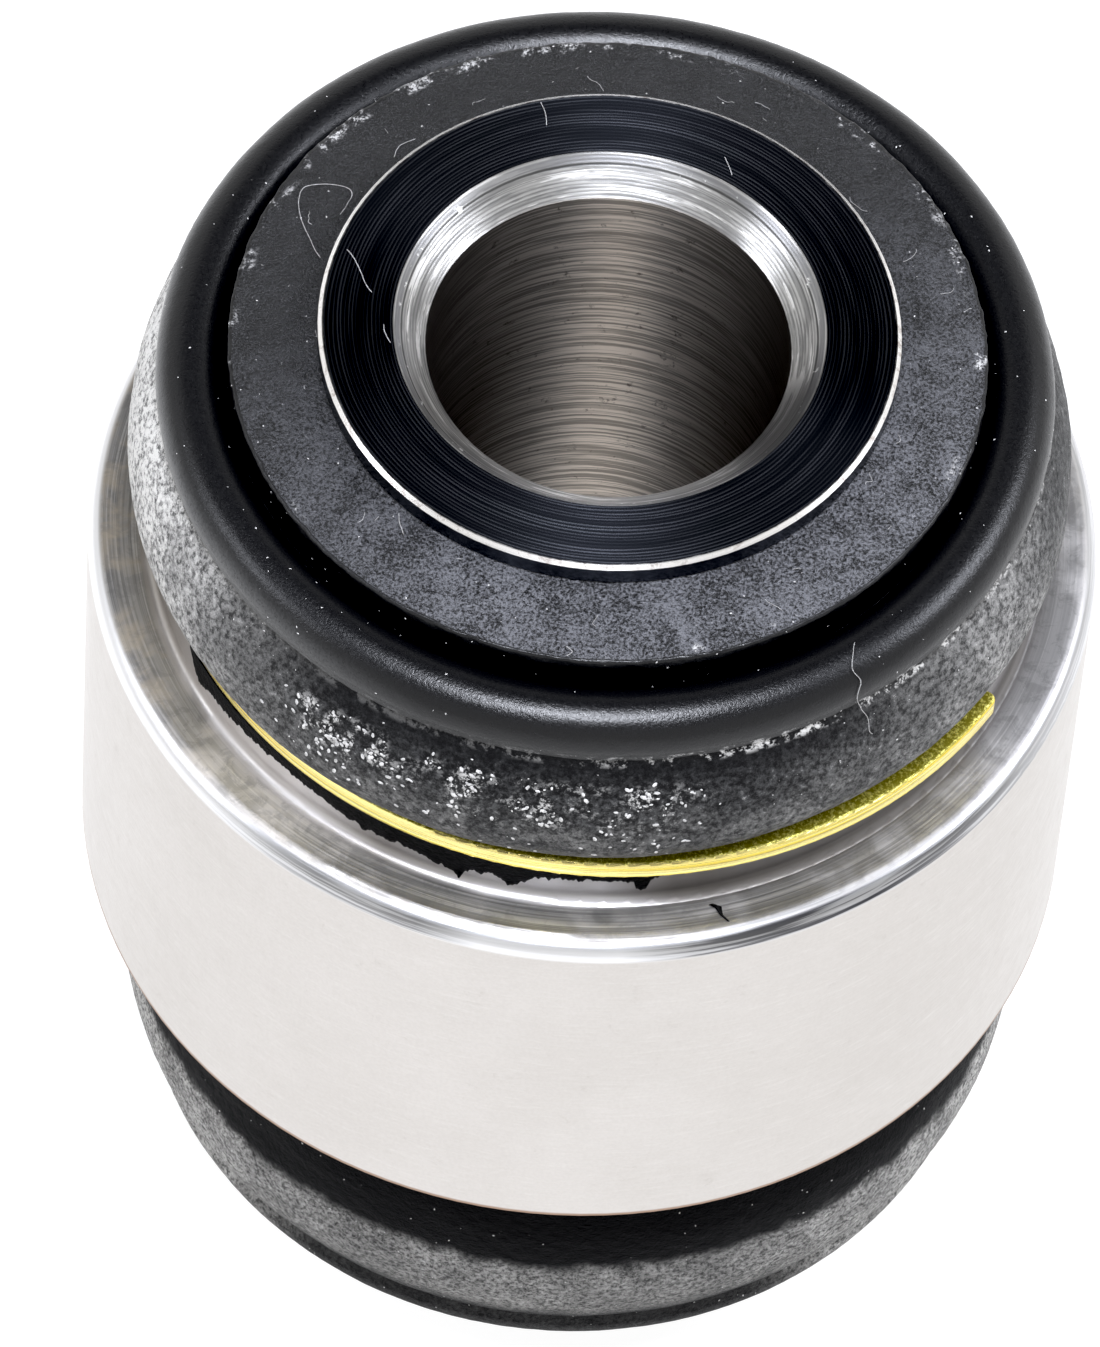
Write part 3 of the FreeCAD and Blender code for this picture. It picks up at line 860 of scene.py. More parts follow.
@dataclass(frozen=True)
class PaperFloor:
    """White sweep that the bush stands on."""

    white: Colour = (0.2, 0.2, 0.2)
    glow: float = 0.93

    def material(self) -> bpy.types.Material:
        """Builds the material.

        Returns:
            The material.
        """
        p = Paint("paper_floor")
        return p.shade(
            Base_Color=self.white, Roughness=0.9, Emission_Color=(1.0, 1.0, 1.0), Emission_Strength=self.glow
        )


def line(start: Point, end: Point, step: float = 0.25) -> list[Point]:
    """Points on a straight stretch of an outline, without its end.

    Args:
        start: first point.
        end: last point.
        step: wished distance between points.

    Returns:
        The points.
    """
    count = max(1, round(math.dist(start, end) / step))
    (x, y), (last_x, last_y) = start, end
    return [(x + (last_x - x) * i / count, y + (last_y - y) * i / count) for i in range(count)]


def arc(centre: Point, radius: float, first: float, last: float, step: float = 0.12) -> list[Point]:
    """Points on an arc of an outline, without its end.

    Args:
        centre: its centre.
        radius: its radius.
        first: angle where it starts, in degrees.
        last: angle where it ends.
        step: wished distance between points.

    Returns:
        The points.
    """
    count = max(2, round(abs(math.radians(last - first)) * radius / step))
    angles = np.radians(first + (last - first) * np.arange(count) / count)
    return [(centre[0] + radius * math.cos(a), centre[1] + radius * math.sin(a)) for a in angles]


def polar(angle: float, radius: float, height: float) -> Triple:
    """Turns an azimuth, a radius and a height into a place.

    Args:
        angle: the azimuth in degrees.
        radius: distance from the axis.
        height: height over the ball's centre.

    Returns:
        The place.
    """
    a = math.radians(angle)
    return radius * math.cos(a), radius * math.sin(a), height


def unit(values: np.ndarray) -> np.ndarray:
    """Keeps values between 0 and 1."""
    return np.clip(values, 0.0, 1.0)


def to_object(name: str, data: bpy.types.ID) -> bpy.types.Object:
    """Puts a mesh, a light or a camera into the scene at the origin.

    Args:
        name: the object's name.
        data: its mesh, light or camera.

    Returns:
        The new object.
    """
    made = bpy.data.objects.new(name, data)
    bpy.context.scene.collection.objects.link(made)
    return made


def mesh_from(name: str, points: np.ndarray, faces: Sequence[Sequence[int]]) -> bpy.types.Mesh:
    """Makes a smooth mesh from points in millimetres.

    Args:
        name: the mesh's name.
        points: N by 3.
        faces: lists of point numbers, anticlockwise from outside.

    Returns:
        The mesh.
    """
    mesh = bpy.data.meshes.new(name)
    mesh.from_pydata((points * MM).tolist(), [], [list(f) for f in faces])
    mesh.validate()
    mesh.shade_smooth()
    return mesh


def keep(mesh: bpy.types.Mesh, name: str, values: np.ndarray) -> None:
    """Stores a number or a vector at each point of a mesh.

    Args:
        mesh: the mesh.
        name: the attribute's name.
        values: N numbers, or N by 3.
    """
    kind, slot_name = ("FLOAT", "value") if values.ndim == 1 else ("FLOAT_VECTOR", "vector")
    made = mesh.attributes.new(name, kind, "POINT")
    made.data.foreach_set(slot_name, values.astype(np.float32).ravel())


def ring_faces(rings: int, around: int, closed: bool) -> Faces:
    """Faces over rings of points that follow each other.

    Args:
        rings: how many rings there are.
        around: points on each ring.
        closed: whether the last ring meets the first; else each end gets a cap.

    Returns:
        The faces.
    """
    faces: Faces = []
    for j in range(rings if closed else rings - 1):
        here, there = j * around, (j + 1) % rings * around
        for i in range(around):
            k = (i + 1) % around
            faces.append((here + i, here + k, there + k, there + i))
    if not closed:
        faces.append(tuple(reversed(range(around))))
        faces.append(tuple(range((rings - 1) * around, rings * around)))
    return faces


def turn(name: str, outline: Sequence[Point], segments: int, shift: Shift) -> bpy.types.Mesh:
    """Turns a closed outline round Z.

    Args:
        name: the mesh's name.
        outline: (radius, height) points, clockwise seen with the axis on the left.
        segments: steps round the axis.
        shift: moves a point outwards and up, given its place and its number in the outline.

    Returns:
        The mesh.
    """
    points = []
    for j in range(segments):
        angle = 2 * math.pi * j / segments
        c, s = math.cos(angle), math.sin(angle)
        for i, (radius, height) in enumerate(outline):
            out, up = shift(Vector((radius * c, radius * s, height)), i)
            points.append(((radius + out) * c, (radius + out) * s, height + up))
    return mesh_from(name, np.array(points), ring_faces(segments, len(outline), closed=True))


def places_of(mesh: bpy.types.Mesh) -> np.ndarray:
    """A mesh's points.

    Args:
        mesh: the mesh.

    Returns:
        N by 3, in metres.
    """
    flat = np.empty(len(mesh.vertices) * 3, np.float32)
    mesh.vertices.foreach_get("co", flat)
    return flat.reshape(-1, 3).astype(float)


def outward(mesh: bpy.types.Mesh) -> None:
    """Turns a closed mesh's faces outwards if its volume comes out negative.

    Args:
        mesh: the mesh.
    """
    work = bmesh.new()
    work.from_mesh(mesh)
    if work.calc_volume(signed=True) < 0:
        bmesh.ops.reverse_faces(work, faces=work.faces)
        work.to_mesh(mesh)
    work.free()


@dataclass
class Boot:
    """One rubber boot, turned from its outline, with the marks of its mould and its dust."""

    side: Side
    hub_radius: float = 10.58
    hub_outer: float = 12.48
    hub_level: float = 21.4
    roof_level: float = 24.45
    roof_radius: float = 14.75
    roof_edge_level: float = 24.1
    roof_under: float = 21.1
    edge_round: float = 0.14
    bulge: Point = (16.1, 21.9)
    bulge_round: float = 1.4
    crease: Point = (17.35, 21.3)
    belly: Point = (18.5, 17.1)
    foot_radius: float = 17.6
    collar_radius: float = 16.44
    sock_radius: float = 16.08
    bead_radius: float = 16.88
    wall_thick: float = 1.45
    foot_level: float = 15.0
    collar_level: float = 13.95
    sock_level: float = 15.55
    past_bead: float = 16.9
    inset: float = 0.0
    lean: float = 0.0
    leans_from: float = 15.0
    tucks: Path = ()
    tucks_from: float = 17.2
    foot_height: float = 2.0
    wall_from: float = Zone.CREASE
    talc_top: float = 20.45
    clusters: Ramp = ()
    segments: int = 576
    fine_grain: float = 2.6
    nick_grain: float = 1.3
    slow_grain: float = 0.35
    roof_waves: Point = (0.02, 0.03)
    edge_waves: Triple = (0.05, 0.10, 0.03)
    bulge_waves: Point = (0.012, 0.03)
    crease_wave: float = 0.035
    wall_waves: Point = (0.022, 0.04)
    flat_step: float = 0.16
    edge_step: float = 0.05
    cluster_heart: float = 0.75
    cluster_fringe: float = 2.1

    def outline(self) -> tuple[list[Point], list[float]]:
        """Draws the outline.

        Returns:
            The (radius, height) points and how far each has run through the zones.
        """
        points: list[Point] = []
        runs: list[float] = []

        def stretch(added: list[Point], first: float, last: float) -> None:
            """Adds points and spreads the run evenly over them.

            Args:
                added: the points.
                first: the run at the first of them.
                last: the run just past the last of them.
            """
            points.extend(added)
            runs.extend(first + (last - first) * i / len(added) for i in range(len(added)))

        edge = self.edge_round
        bulge = (self.bulge[0], self.bulge[1] - self.inset)
        hub_top = (self.hub_radius, self.roof_level - self.inset)
        lip = (self.roof_radius - edge, self.roof_edge_level - self.inset)
        cleft_level = bulge[1] + math.sqrt(self.bulge_round**2 - (bulge[0] - self.roof_radius) ** 2)
        cleft_angle = math.degrees(math.atan2(cleft_level - bulge[1], self.roof_radius - bulge[0]))
        stretch(line(hub_top, lip, self.flat_step), Zone.ROOF, Zone.ROOF_EDGE)
        corner = arc((lip[0], lip[1] - edge), edge, 90, 0, self.edge_step)
        stretch(corner, Zone.ROOF_EDGE, Zone.ROOF_EDGE + 0.2)
        cleft = line((self.roof_radius, lip[1] - edge), (self.roof_radius, cleft_level), self.flat_step)
        stretch(cleft, Zone.ROOF_EDGE + 0.2, Zone.CLEFT)
        stretch(arc(bulge, self.bulge_round, cleft_angle, 90), Zone.CLEFT, Zone.BULGE_TOP)
        stretch(arc(bulge, self.bulge_round, 90, -8), Zone.BULGE_TOP, Zone.CREASE - 0.1)
        crease = (self.crease[0], self.crease[1] - self.inset)
        wide, level = self.belly[0], self.belly[1] - self.inset
        swell, drop = wide - crease[0], crease[1] - level
        wall_round = (drop**2 + swell**2) / (2 * swell)
        start = math.degrees(math.asin(drop / wall_round))
        stretch([crease], Zone.CREASE, Zone.CREASE)
        stretch(arc((wide - wall_round, level), wall_round, start, 0)[1:], Zone.CREASE + 0.04, Zone.BELLY)
        sink, down = wide - self.foot_radius, level - self.foot_level
        foot_round = (down**2 + sink**2) / (2 * sink)
        end = -math.degrees(math.asin(down / foot_round))
        stretch(arc((wide - foot_round, level), foot_round, 0, end), Zone.BELLY, Zone.FOOT)
        hidden = [
            (self.foot_radius, self.foot_level),
            (self.collar_radius, self.foot_level),
            (self.collar_radius, self.collar_level),
            (self.sock_radius, self.collar_level),
            (self.sock_radius, self.sock_level),
            (self.bead_radius, self.sock_level),
            (self.bead_radius, self.past_bead),
            (wide - self.wall_thick, level + self.wall_thick / 2),
            (bulge[0] + 0.08, bulge[1] - self.bulge_round),
            (self.roof_radius, self.roof_under - self.inset),
            (self.hub_outer, self.roof_under + 0.4 - self.inset),
            (self.hub_outer, self.hub_level - self.inset),
            (self.hub_radius, self.hub_level - self.inset),
        ]
        stretch(hidden, Zone.HIDDEN, Zone.HIDDEN)
        return points, runs

    def rough_skin(self, runs: Sequence[float]) -> Shift:
        """Makes the rule that roughens the skin.

        Args:
            runs: how far each outline point has run through the zones.

        Returns:
            A function from a place and its number to a shift outwards and up.
        """

        def shift(at: Vector, index: int) -> Point:
            """Moves one point.

            Args:
                at: its place.
                index: its number in the outline.

            Returns:
                How far it moves outwards and up.
            """
            run = runs[index]
            if run >= Zone.FOOT or index == 0:
                return 0.0, 0.0
            fine = noise.noise(at * self.fine_grain)
            slow = noise.noise(at * self.slow_grain + Vector((7.0, 3.0, 1.0)))
            if run < Zone.ROOF_EDGE:
                fade = min(1.0, run * 6.0)
                return 0.0, fade * (self.roof_waves[0] * fine + self.roof_waves[1] * slow)
            if run <= Zone.ROOF_EDGE + 0.2:
                nick = min(0.0, noise.noise(at * self.nick_grain) + 0.15)
                out, nicked, up = self.edge_waves
                return out * fine + nicked * nick, up * fine
            if run < Zone.CREASE - 0.1:
                return self.bulge_waves[0] * fine + self.bulge_waves[1] * slow, 0.0
            if run < Zone.CREASE + 0.05:
                return self.crease_wave * fine, 0.0
            fade = min(1.0, (Zone.FOOT - run) * 3.0)
            return fade * (self.wall_waves[0] * fine + self.wall_waves[1] * slow), 0.0

        return shift

    def talc(self, points: np.ndarray, runs: np.ndarray) -> np.ndarray:
        """Where talc lies in clusters on the wall.

        Args:
            points: the mesh's points in millimetres.
            runs: each point's run through the zones.

        Returns:
            A density from 0 to 1 at each point.
        """
        density = np.zeros(len(points))
        on_wall = (runs > Zone.CREASE) & (runs < Zone.FOOT)
        turned = np.degrees(np.arctan2(points[:, 1], points[:, 0]))
        for angle, level in self.clusters:
            along = np.radians(turned - angle) * self.belly[0]
            away = np.hypot(along, points[:, 2] - level)
            density += np.exp(-((away / self.cluster_heart) ** 4))
            density += 0.5 * np.exp(-((away / self.cluster_fringe) ** 2))
        density *= unit((self.talc_top - points[:, 2]) / 0.5)
        lumps = [noise.noise(Vector(p) * 1.4) if d > 0.01 else 0.0 for p, d in zip(points.tolist(), density)]
        return unit(density * on_wall * unit(np.array(lumps) * 2.2 + 0.6))

    def build(self, top: BareRubber, wall: TalcedRubber) -> bpy.types.Object:
        """Makes the boot and dresses it, in place of the hidden CAD boot.

        Args:
            top: rubber of its roof, cleft and bulge.
            wall: rubber from wall_from on.

        Returns:
            The piece.
        """
        outline, runs = self.outline()
        label = self.side.name.lower()
        mesh = turn(f"{label}_boot_skin", outline, self.segments, self.rough_skin(runs))
        all_runs = np.tile(np.array(runs), self.segments)
        talc = self.talc(places_of(mesh) / MM, all_runs)
        if self.side is Side.LOWER:
            mesh.transform(Matrix.Diagonal((1.0, -1.0, -1.0, 1.0)))
        outward(mesh)
        self.lean_over(mesh)
        keep(mesh, "rest", places_of(mesh))
        keep(mesh, "run", all_runs)
        keep(mesh, "talc", talc)
        keep(mesh, "specks", np.where(all_runs < Zone.HIDDEN, 1.0, 0.0))
        keep(mesh, "roof", unit((0.98 - all_runs) * 20))
        for rubber in (top, wall):
            mesh.materials.append(rubber.material())
        on_wall = (np.array(runs) >= self.wall_from).astype(np.int32)
        mesh.polygons.foreach_set("material_index", np.tile(on_wall, self.segments))
        piece = to_object(f"{label}_boot_skin", mesh)
        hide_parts(f"{label}_boot")
        self.hang(piece)
        return piece

    def lean_over(self, mesh: bpy.types.Mesh) -> None:
        """Pushes wall and bulge a little to one side, and tucks the foot in where the ring shows.

        A tuck is an azimuth and half its width in degrees, and its depth.

        Args:
            mesh: the boot's mesh.
        """
        places = places_of(mesh)
        height = np.abs(places[:, 2]) / MM
        out = np.hypot(places[:, 0], places[:, 1]) / MM
        rise = (height - self.foot_level) / self.foot_height
        share = unit(rise) * unit((out - self.leans_from) / 1.5)
        places[:, 0] += share * self.lean * MM
        turned = np.degrees(np.arctan2(places[:, 1], places[:, 0]))
        low = unit(1.0 - rise) * unit((out - self.tucks_from) / 0.3)
        for angle, half, depth in self.tucks:
            near = unit(1.0 - np.abs(turned - angle) / half)
            inward = depth * np.sin(near * math.pi / 2) * low / out
            places[:, :2] *= (1.0 - inward)[:, None]
        mesh.vertices.foreach_set("co", places.astype(np.float32).ravel())
        mesh.update()

    def hang(self, piece: bpy.types.Object) -> None:
        """Bakes a piece's transform into its mesh.

        Args:
            piece: the piece.
        """
        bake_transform(piece)


@dataclass
class NeckFilm:
    """Torn black film of rubber on the housing's neck, under the upper wire ring, and a loose chip.

    The film's edge is a run of azimuths in degrees and heights. The chip is one of azimuths, radii
    and half widths.
    """

    neck_radius: float = 17.5
    fillet: float = 0.4
    shoulder: float = 11.8
    top: float = 13.92
    thick: float = 0.05
    gap: float = 0.012
    ragged: Point = (0.26, 0.16)
    edge: Ramp = (
        (-150.8, 13.6), (-149.6, 12.9), (-148.2, 12.25), (-145.0, 12.7), (-140.7, 12.84), (-136.5, 13.0),
        (-129.2, 13.15), (-124.2, 13.0), (-116.8, 12.6), (-109.8, 12.7), (-104.6, 12.2), (-103.6, 11.95),
        (-102.6, 12.48), (-99.1, 12.72), (-96.9, 12.15), (-95.8, 12.3), (-93.6, 13.0), (-87.0, 13.1),
        (-81.2, 13.0), (-80.8, 12.38), (-79.5, 12.4), (-79.0, 13.0), (-77.0, 13.75),
    )
    chip: Path = (
        (-71.6, 18.25, 0.10), (-70.9, 18.45, 0.13), (-70.8, 18.8, 0.06), (-70.2, 19.15, 0.04),
    )
    steps: int = 620
    rows: int = 8
    chip_sides: int = 8

    def surface(self, height: float) -> float:
        """The neck's radius at a height, with the fillet at its foot.

        Args:
            height: height in millimetres.

        Returns:
            The radius.
        """
        rise = height - self.shoulder
        if rise >= self.fillet:
            return self.neck_radius
        drop = math.sqrt(max(self.fillet**2 - (self.fillet - rise) ** 2, 0.0))
        return self.neck_radius + self.fillet - drop

    def section(self, angle: float, low: float) -> list[Triple]:
        """The film's closed section at one azimuth: down its inside and up its outside.

        Args:
            angle: the azimuth in degrees.
            low: where the film's edge lies there, before it is made ragged.

        Returns:
            The points.
        """
        ragged = self.ragged[0] * noise.noise(Vector((angle * 0.8, 0.0, 5.0)))
        ragged += self.ragged[1] * noise.noise(Vector((angle * 2.3, 2.0, 0.0)))
        low = min(max(low + ragged, self.shoulder + 0.05), self.top - 0.02)
        heights = [self.top + (low - self.top) * row / (self.rows - 1) for row in range(self.rows)]
        inside = [(height, self.gap) for height in heights]
        outside = [(h, self.thick + 0.02 * noise.noise(Vector((angle, h * 3, 1.0)))) for h in heights]
        outside[-1] = (low, outside[-1][1] * 0.5)
        return [polar(angle, self.surface(height) + lift, height) for height, lift in inside + outside[::-1]]

    def chip_ring(self, angle: float, radius: float, half: float) -> list[Triple]:
        """One ring of points round the chip.

        Args:
            angle: azimuth of its middle in degrees.
            radius: distance of its middle from the axis.
            half: half the chip's width there.

        Returns:
            The points.
        """
        a = math.radians(angle)
        centre = Vector(polar(angle, radius, self.shoulder + half * 0.5))
        side = Vector((-math.sin(a), math.cos(a), 0.0)) * half
        up = Vector((0.0, 0.0, half * 0.5))
        turns = [-2 * math.pi * k / self.chip_sides for k in range(self.chip_sides)]
        return [tuple(centre + side * math.cos(t) + up * math.sin(t)) for t in turns]

    def build(self, finish: PlainFinish) -> bpy.types.Object:
        """Makes the film and its loose chip as one piece on the housing.

        Args:
            finish: its look.

        Returns:
            The piece.
        """
        angles = np.linspace(self.edge[0][0], self.edge[-1][0], self.steps)
        lows = np.interp(angles, [e[0] for e in self.edge], [e[1] for e in self.edge])
        film = [point for angle, low in zip(angles, lows) for point in self.section(angle, low)]
        chip = [point for stop in self.chip for point in self.chip_ring(*stop)]
        faces = ring_faces(self.steps, 2 * self.rows, closed=False)
        for face in ring_faces(len(self.chip), self.chip_sides, closed=False):
            faces.append(tuple(number + len(film) for number in face))
        mesh = mesh_from("neck_film", np.array(film + chip), faces)
        outward(mesh)
        mesh.materials.append(finish.material())
        piece = to_object("neck_film", mesh)
        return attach(piece, "housing")


class Grower(Tree):
    """A Geometry Nodes tree that grows small things on a carrier's faces."""

    def __init__(self, name: str, sizes: dict[str, float]) -> None:
        """Makes the tree with its named inputs.

        Args:
            name: the tree's name.
            sizes: the named inputs and their values.
        """
        super().__init__(bpy.data.node_groups.new(name, "GeometryNodeTree"))
        self.sizes = sizes
        face = self.tree.interface
        face.new_socket("Geometry", in_out="INPUT", socket_type="NodeSocketGeometry")
        for label in sizes:
            face.new_socket(label, in_out="INPUT", socket_type="NodeSocketFloat")
        face.new_socket("Material", in_out="INPUT", socket_type="NodeSocketMaterial")
        face.new_socket("Geometry", in_out="OUTPUT", socket_type="NodeSocketGeometry")
        self.given = self.add("NodeGroupInput").outputs

    def seeds(self, density_name: str, seed: int) -> bpy.types.Node:
        """Scatters points over the carrier, thicker where an attribute is high.

        Args:
            density_name: the attribute.
            seed: fixes the scatter.

        Returns:
            The node that scatters.
        """
        label = {"Name": density_name}
        named = self.add("GeometryNodeInputNamedAttribute", label, data_type="FLOAT").outputs[0]
        both = {0: named, 1: self.given["Density"]}
        density = self.add("ShaderNodeMath", both, operation="MULTIPLY").outputs[0]
        inputs = {"Mesh": self.given["Geometry"], "Density": density, "Seed": seed}
        return self.add("GeometryNodeDistributePointsOnFaces", inputs, distribute_method="RANDOM")

    def any_scale(self, low: float, high: float, seed: int) -> Socket:
        """A random size for each copy.

        Args:
            low: smallest.
            high: largest.
            seed: fixes the draw.

        Returns:
            The size.
        """
        inputs = {"Min": low, "Max": high, "Seed": seed}
        node = self.add("FunctionNodeRandomValue", inputs, data_type="FLOAT")
        return next(s for s in node.outputs if s.enabled)

    def strew(
        self, seeds: bpy.types.Node, shape: Socket, turn_seed: int, low: float, high: float, seed: int
    ) -> Socket:
        """Puts a copy on each seed, turned at random about the surface's normal.

        Args:
            seeds: the node that scatters.
            shape: what is copied.
            turn_seed: fixes the turns.
            low: smallest scale.
            high: largest scale.
            seed: fixes the scales.

        Returns:
            The copies.
        """
        angle = self.any_scale(0.0, 2 * math.pi, turn_seed)
        about = {"Axis": (0.0, 0.0, 1.0), "Angle": angle}
        spin = self.add("FunctionNodeAxisAngleToRotation", about).outputs[0]
        both = {"Rotation": seeds.outputs["Rotation"], "Rotate By": spin}
        turned = self.add("FunctionNodeRotateRotation", both, rotation_space="LOCAL").outputs[0]
        inputs = {
            "Points": seeds.outputs["Points"],
            "Instance": shape,
            "Rotation": turned,
            "Scale": self.any_scale(low, high, seed),
        }
        return self.add("GeometryNodeInstanceOnPoints", inputs).outputs[0]

    def curl(self, curve: Socket, fineness: float, reach: Value) -> Socket:
        """Curls a curve by noise, mostly along the surface.

        Args:
            curve: the curve.
            fineness: the noise's scale, per metre.
            reach: how far a point may stray, in metres.

        Returns:
            The curled curve.
        """
        way = self.add("ShaderNodeTexNoise", {"Scale": fineness, "Detail": 2.0}).outputs[1]
        for operation, inputs in (
            ("SUBTRACT", {1: (0.5, 0.5, 0.42)}),
            ("SCALE", {3: reach}),
            ("MULTIPLY", {1: (1.0, 1.0, 0.2)}),
        ):
            way = self.add("ShaderNodeVectorMath", {0: way, **inputs}, operation=operation).outputs[0]
        return self.add("GeometryNodeSetPosition", {"Geometry": curve, "Offset": way}).outputs[0]

    def tube(self, curves: Socket) -> Socket:
        """Gives curves a thin five-sided section.

        Args:
            curves: the curves.

        Returns:
            The tubes.
        """
        thin = {"Resolution": 5, "Radius": self.given["Thickness"]}
        section = self.add("GeometryNodeCurvePrimitiveCircle", thin, mode="RADIUS").outputs[0]
        inputs = {"Curve": curves, "Profile Curve": section, "Fill Caps": True}
        return self.add("GeometryNodeCurveToMesh", inputs).outputs[0]

    def finish(self, shape: Socket) -> None:
        """Ends the tree in Realize Instances and Set Material.

        Args:
            shape: the grown shapes.
        """
        real = self.add("GeometryNodeRealizeInstances", {"Geometry": shape}).outputs[0]
        inputs = {"Geometry": real, "Material": self.given["Material"]}
        self.add("NodeGroupOutput", {0: self.add("GeometryNodeSetMaterial", inputs).outputs[0]})

    def grow(self, name: str, carrier: bpy.types.Object, material: bpy.types.Material) -> bpy.types.Object:
        """Runs the tree on a copy of the carrier and keeps the result as a plain mesh.

        Args:
            name: the new piece's name.
            carrier: what it grows on.
            material: what it is made of.

        Returns:
            The new piece.
        """
        worker = to_object(name + "_worker", carrier.data.copy())
        modifier = worker.modifiers.new("grow", "NODES")
        modifier.node_group = self.tree
        for item in self.tree.interface.items_tree:
            if item.item_type == "SOCKET" and item.in_out == "INPUT":
                if item.name in self.sizes:
                    modifier[item.identifier] = float(self.sizes[item.name])
                elif item.name == "Material":
                    modifier[item.identifier] = material
        graph = bpy.context.evaluated_depsgraph_get()
        mesh = bpy.data.meshes.new_from_object(worker.evaluated_get(graph))
        worker.modifiers.clear()
        bpy.data.objects.remove(worker)
        mesh.name = name
        return to_object(name, mesh)


@dataclass
class Dust:
    """Talc flakes on a wall, specks all over a boot and fine lint on its roof."""

    flake: float = 0.155
    flakes_per_mm2: float = 17.0
    speck: float = 0.06
    specks_per_mm2: float = 0.35
    crumb_form: Triple = (1.0, 0.6, 0.28)
    lint_length: float = 0.7
    lint_thick: float = 0.012
    lints_per_mm2: float = 0.08
    lint_sweep: float = 1.4
    lint_stray: float = 1.3
    lint_fineness: float = 900.0

    def crumbs(
        self,
        name: str,
        carrier: bpy.types.Object,
        finish: PlainFinish,
        where: str,
        size: float,
        per_mm2: float,
    ) -> bpy.types.Object:
        """Grows flat crumbs on a boot.

        Args:
            name: the piece's name.
            carrier: the boot.
            finish: the crumbs' look.
            where: the attribute that says how thick they lie.
            size: a large crumb's radius in millimetres.
            per_mm2: crumbs on a square millimetre where they lie thickest.

        Returns:
            The crumbs.
        """
        grower = Grower(name, {"Density": per_mm2 * SQUARE_METRE, "Size": size * MM})
        seeds = grower.seeds(where, 11)
        ball = {"Radius": grower.given["Size"], "Subdivisions": 1}
        crumb = grower.add("GeometryNodeMeshIcoSphere", ball).outputs[0]
        form = {"Geometry": crumb, "Scale": self.crumb_form}
        flat = grower.add("GeometryNodeTransform", form).outputs[0]
        grower.finish(grower.strew(seeds, flat, 3, 0.2, 1.0, 5))
        return grower.grow(name, carrier, finish.material())

    def lint(self, carrier: bpy.types.Object, finish: PlainFinish) -> bpy.types.Object:
        """Grows short lint.

        Args:
            carrier: the boot.
            finish: the lint's look.

        Returns:
            The lint.
        """
        sizes = {
            "Density": self.lints_per_mm2 * SQUARE_METRE,
            "Length": self.lint_length * MM,
            "Thickness": self.lint_thick * MM,
        }
        grower = Grower("RoofLint", sizes)
        seeds = grower.seeds("roof", 23)
        bow = {
            "Resolution": 12,
            "Radius": grower.given["Length"],
            "Start Angle": 0.0,
            "Sweep Angle": self.lint_sweep,
        }
        hair = grower.add("GeometryNodeCurveArc", bow, mode="RADIUS").outputs[0]
        copies = grower.strew(seeds, hair, 8, 0.15, 0.9, 9)
        real = grower.add("GeometryNodeRealizeInstances", {"Geometry": copies}).outputs[0]
        grower.finish(grower.tube(grower.curl(real, self.lint_fineness, self.lint_stray * MM)))
        return grower.grow("roof_lint", carrier, finish.material())


@dataclass
class StrayFibres:
    """A few long fibres that lie on one body, along paths of (azimuth, radius, height)."""

    name: str
    paths: tuple[Path, ...]
    thick: float = 0.017
    curl: float = 0.10
    lift: float = 0.05
    fineness: float = 1400.0
    steps: int = 60

    def build(self, finish: PlainFinish) -> bpy.types.Object:
        """Draws the fibres along their paths.

        Args:
            finish: their look.

        Returns:
            The piece, not yet set on a body.
        """
        points: list[Triple] = []
        edges: list[tuple[int, int]] = []
        for path in self.paths:
            first = len(points)
            points.extend(polar(angle, radius, height + self.lift) for angle, radius, height in path)
            edges.extend((k, k + 1) for k in range(first, len(points) - 1))
        mesh = bpy.data.meshes.new(self.name)
        mesh.from_pydata((np.array(points) * MM).tolist(), edges, [])
        carrier = to_object(self.name + "_paths", mesh)
        grower = Grower("StrayFibres", {"Thickness": self.thick * MM, "Curl": self.curl * MM})
        curve = grower.add("GeometryNodeMeshToCurve", {"Mesh": grower.given["Geometry"]}).outputs[0]
        soft = grower.add("GeometryNodeCurveSplineType", {"Curve": curve}, spline_type="CATMULL_ROM")
        fine = {"Curve": soft.outputs[0], "Count": self.steps}
        even = grower.add("GeometryNodeResampleCurve", fine).outputs[0]
        grower.finish(grower.tube(grower.curl(even, self.fineness, grower.given["Curl"])))
        piece = grower.grow(self.name, carrier, finish.material())
        bpy.data.objects.remove(carrier)
        return piece


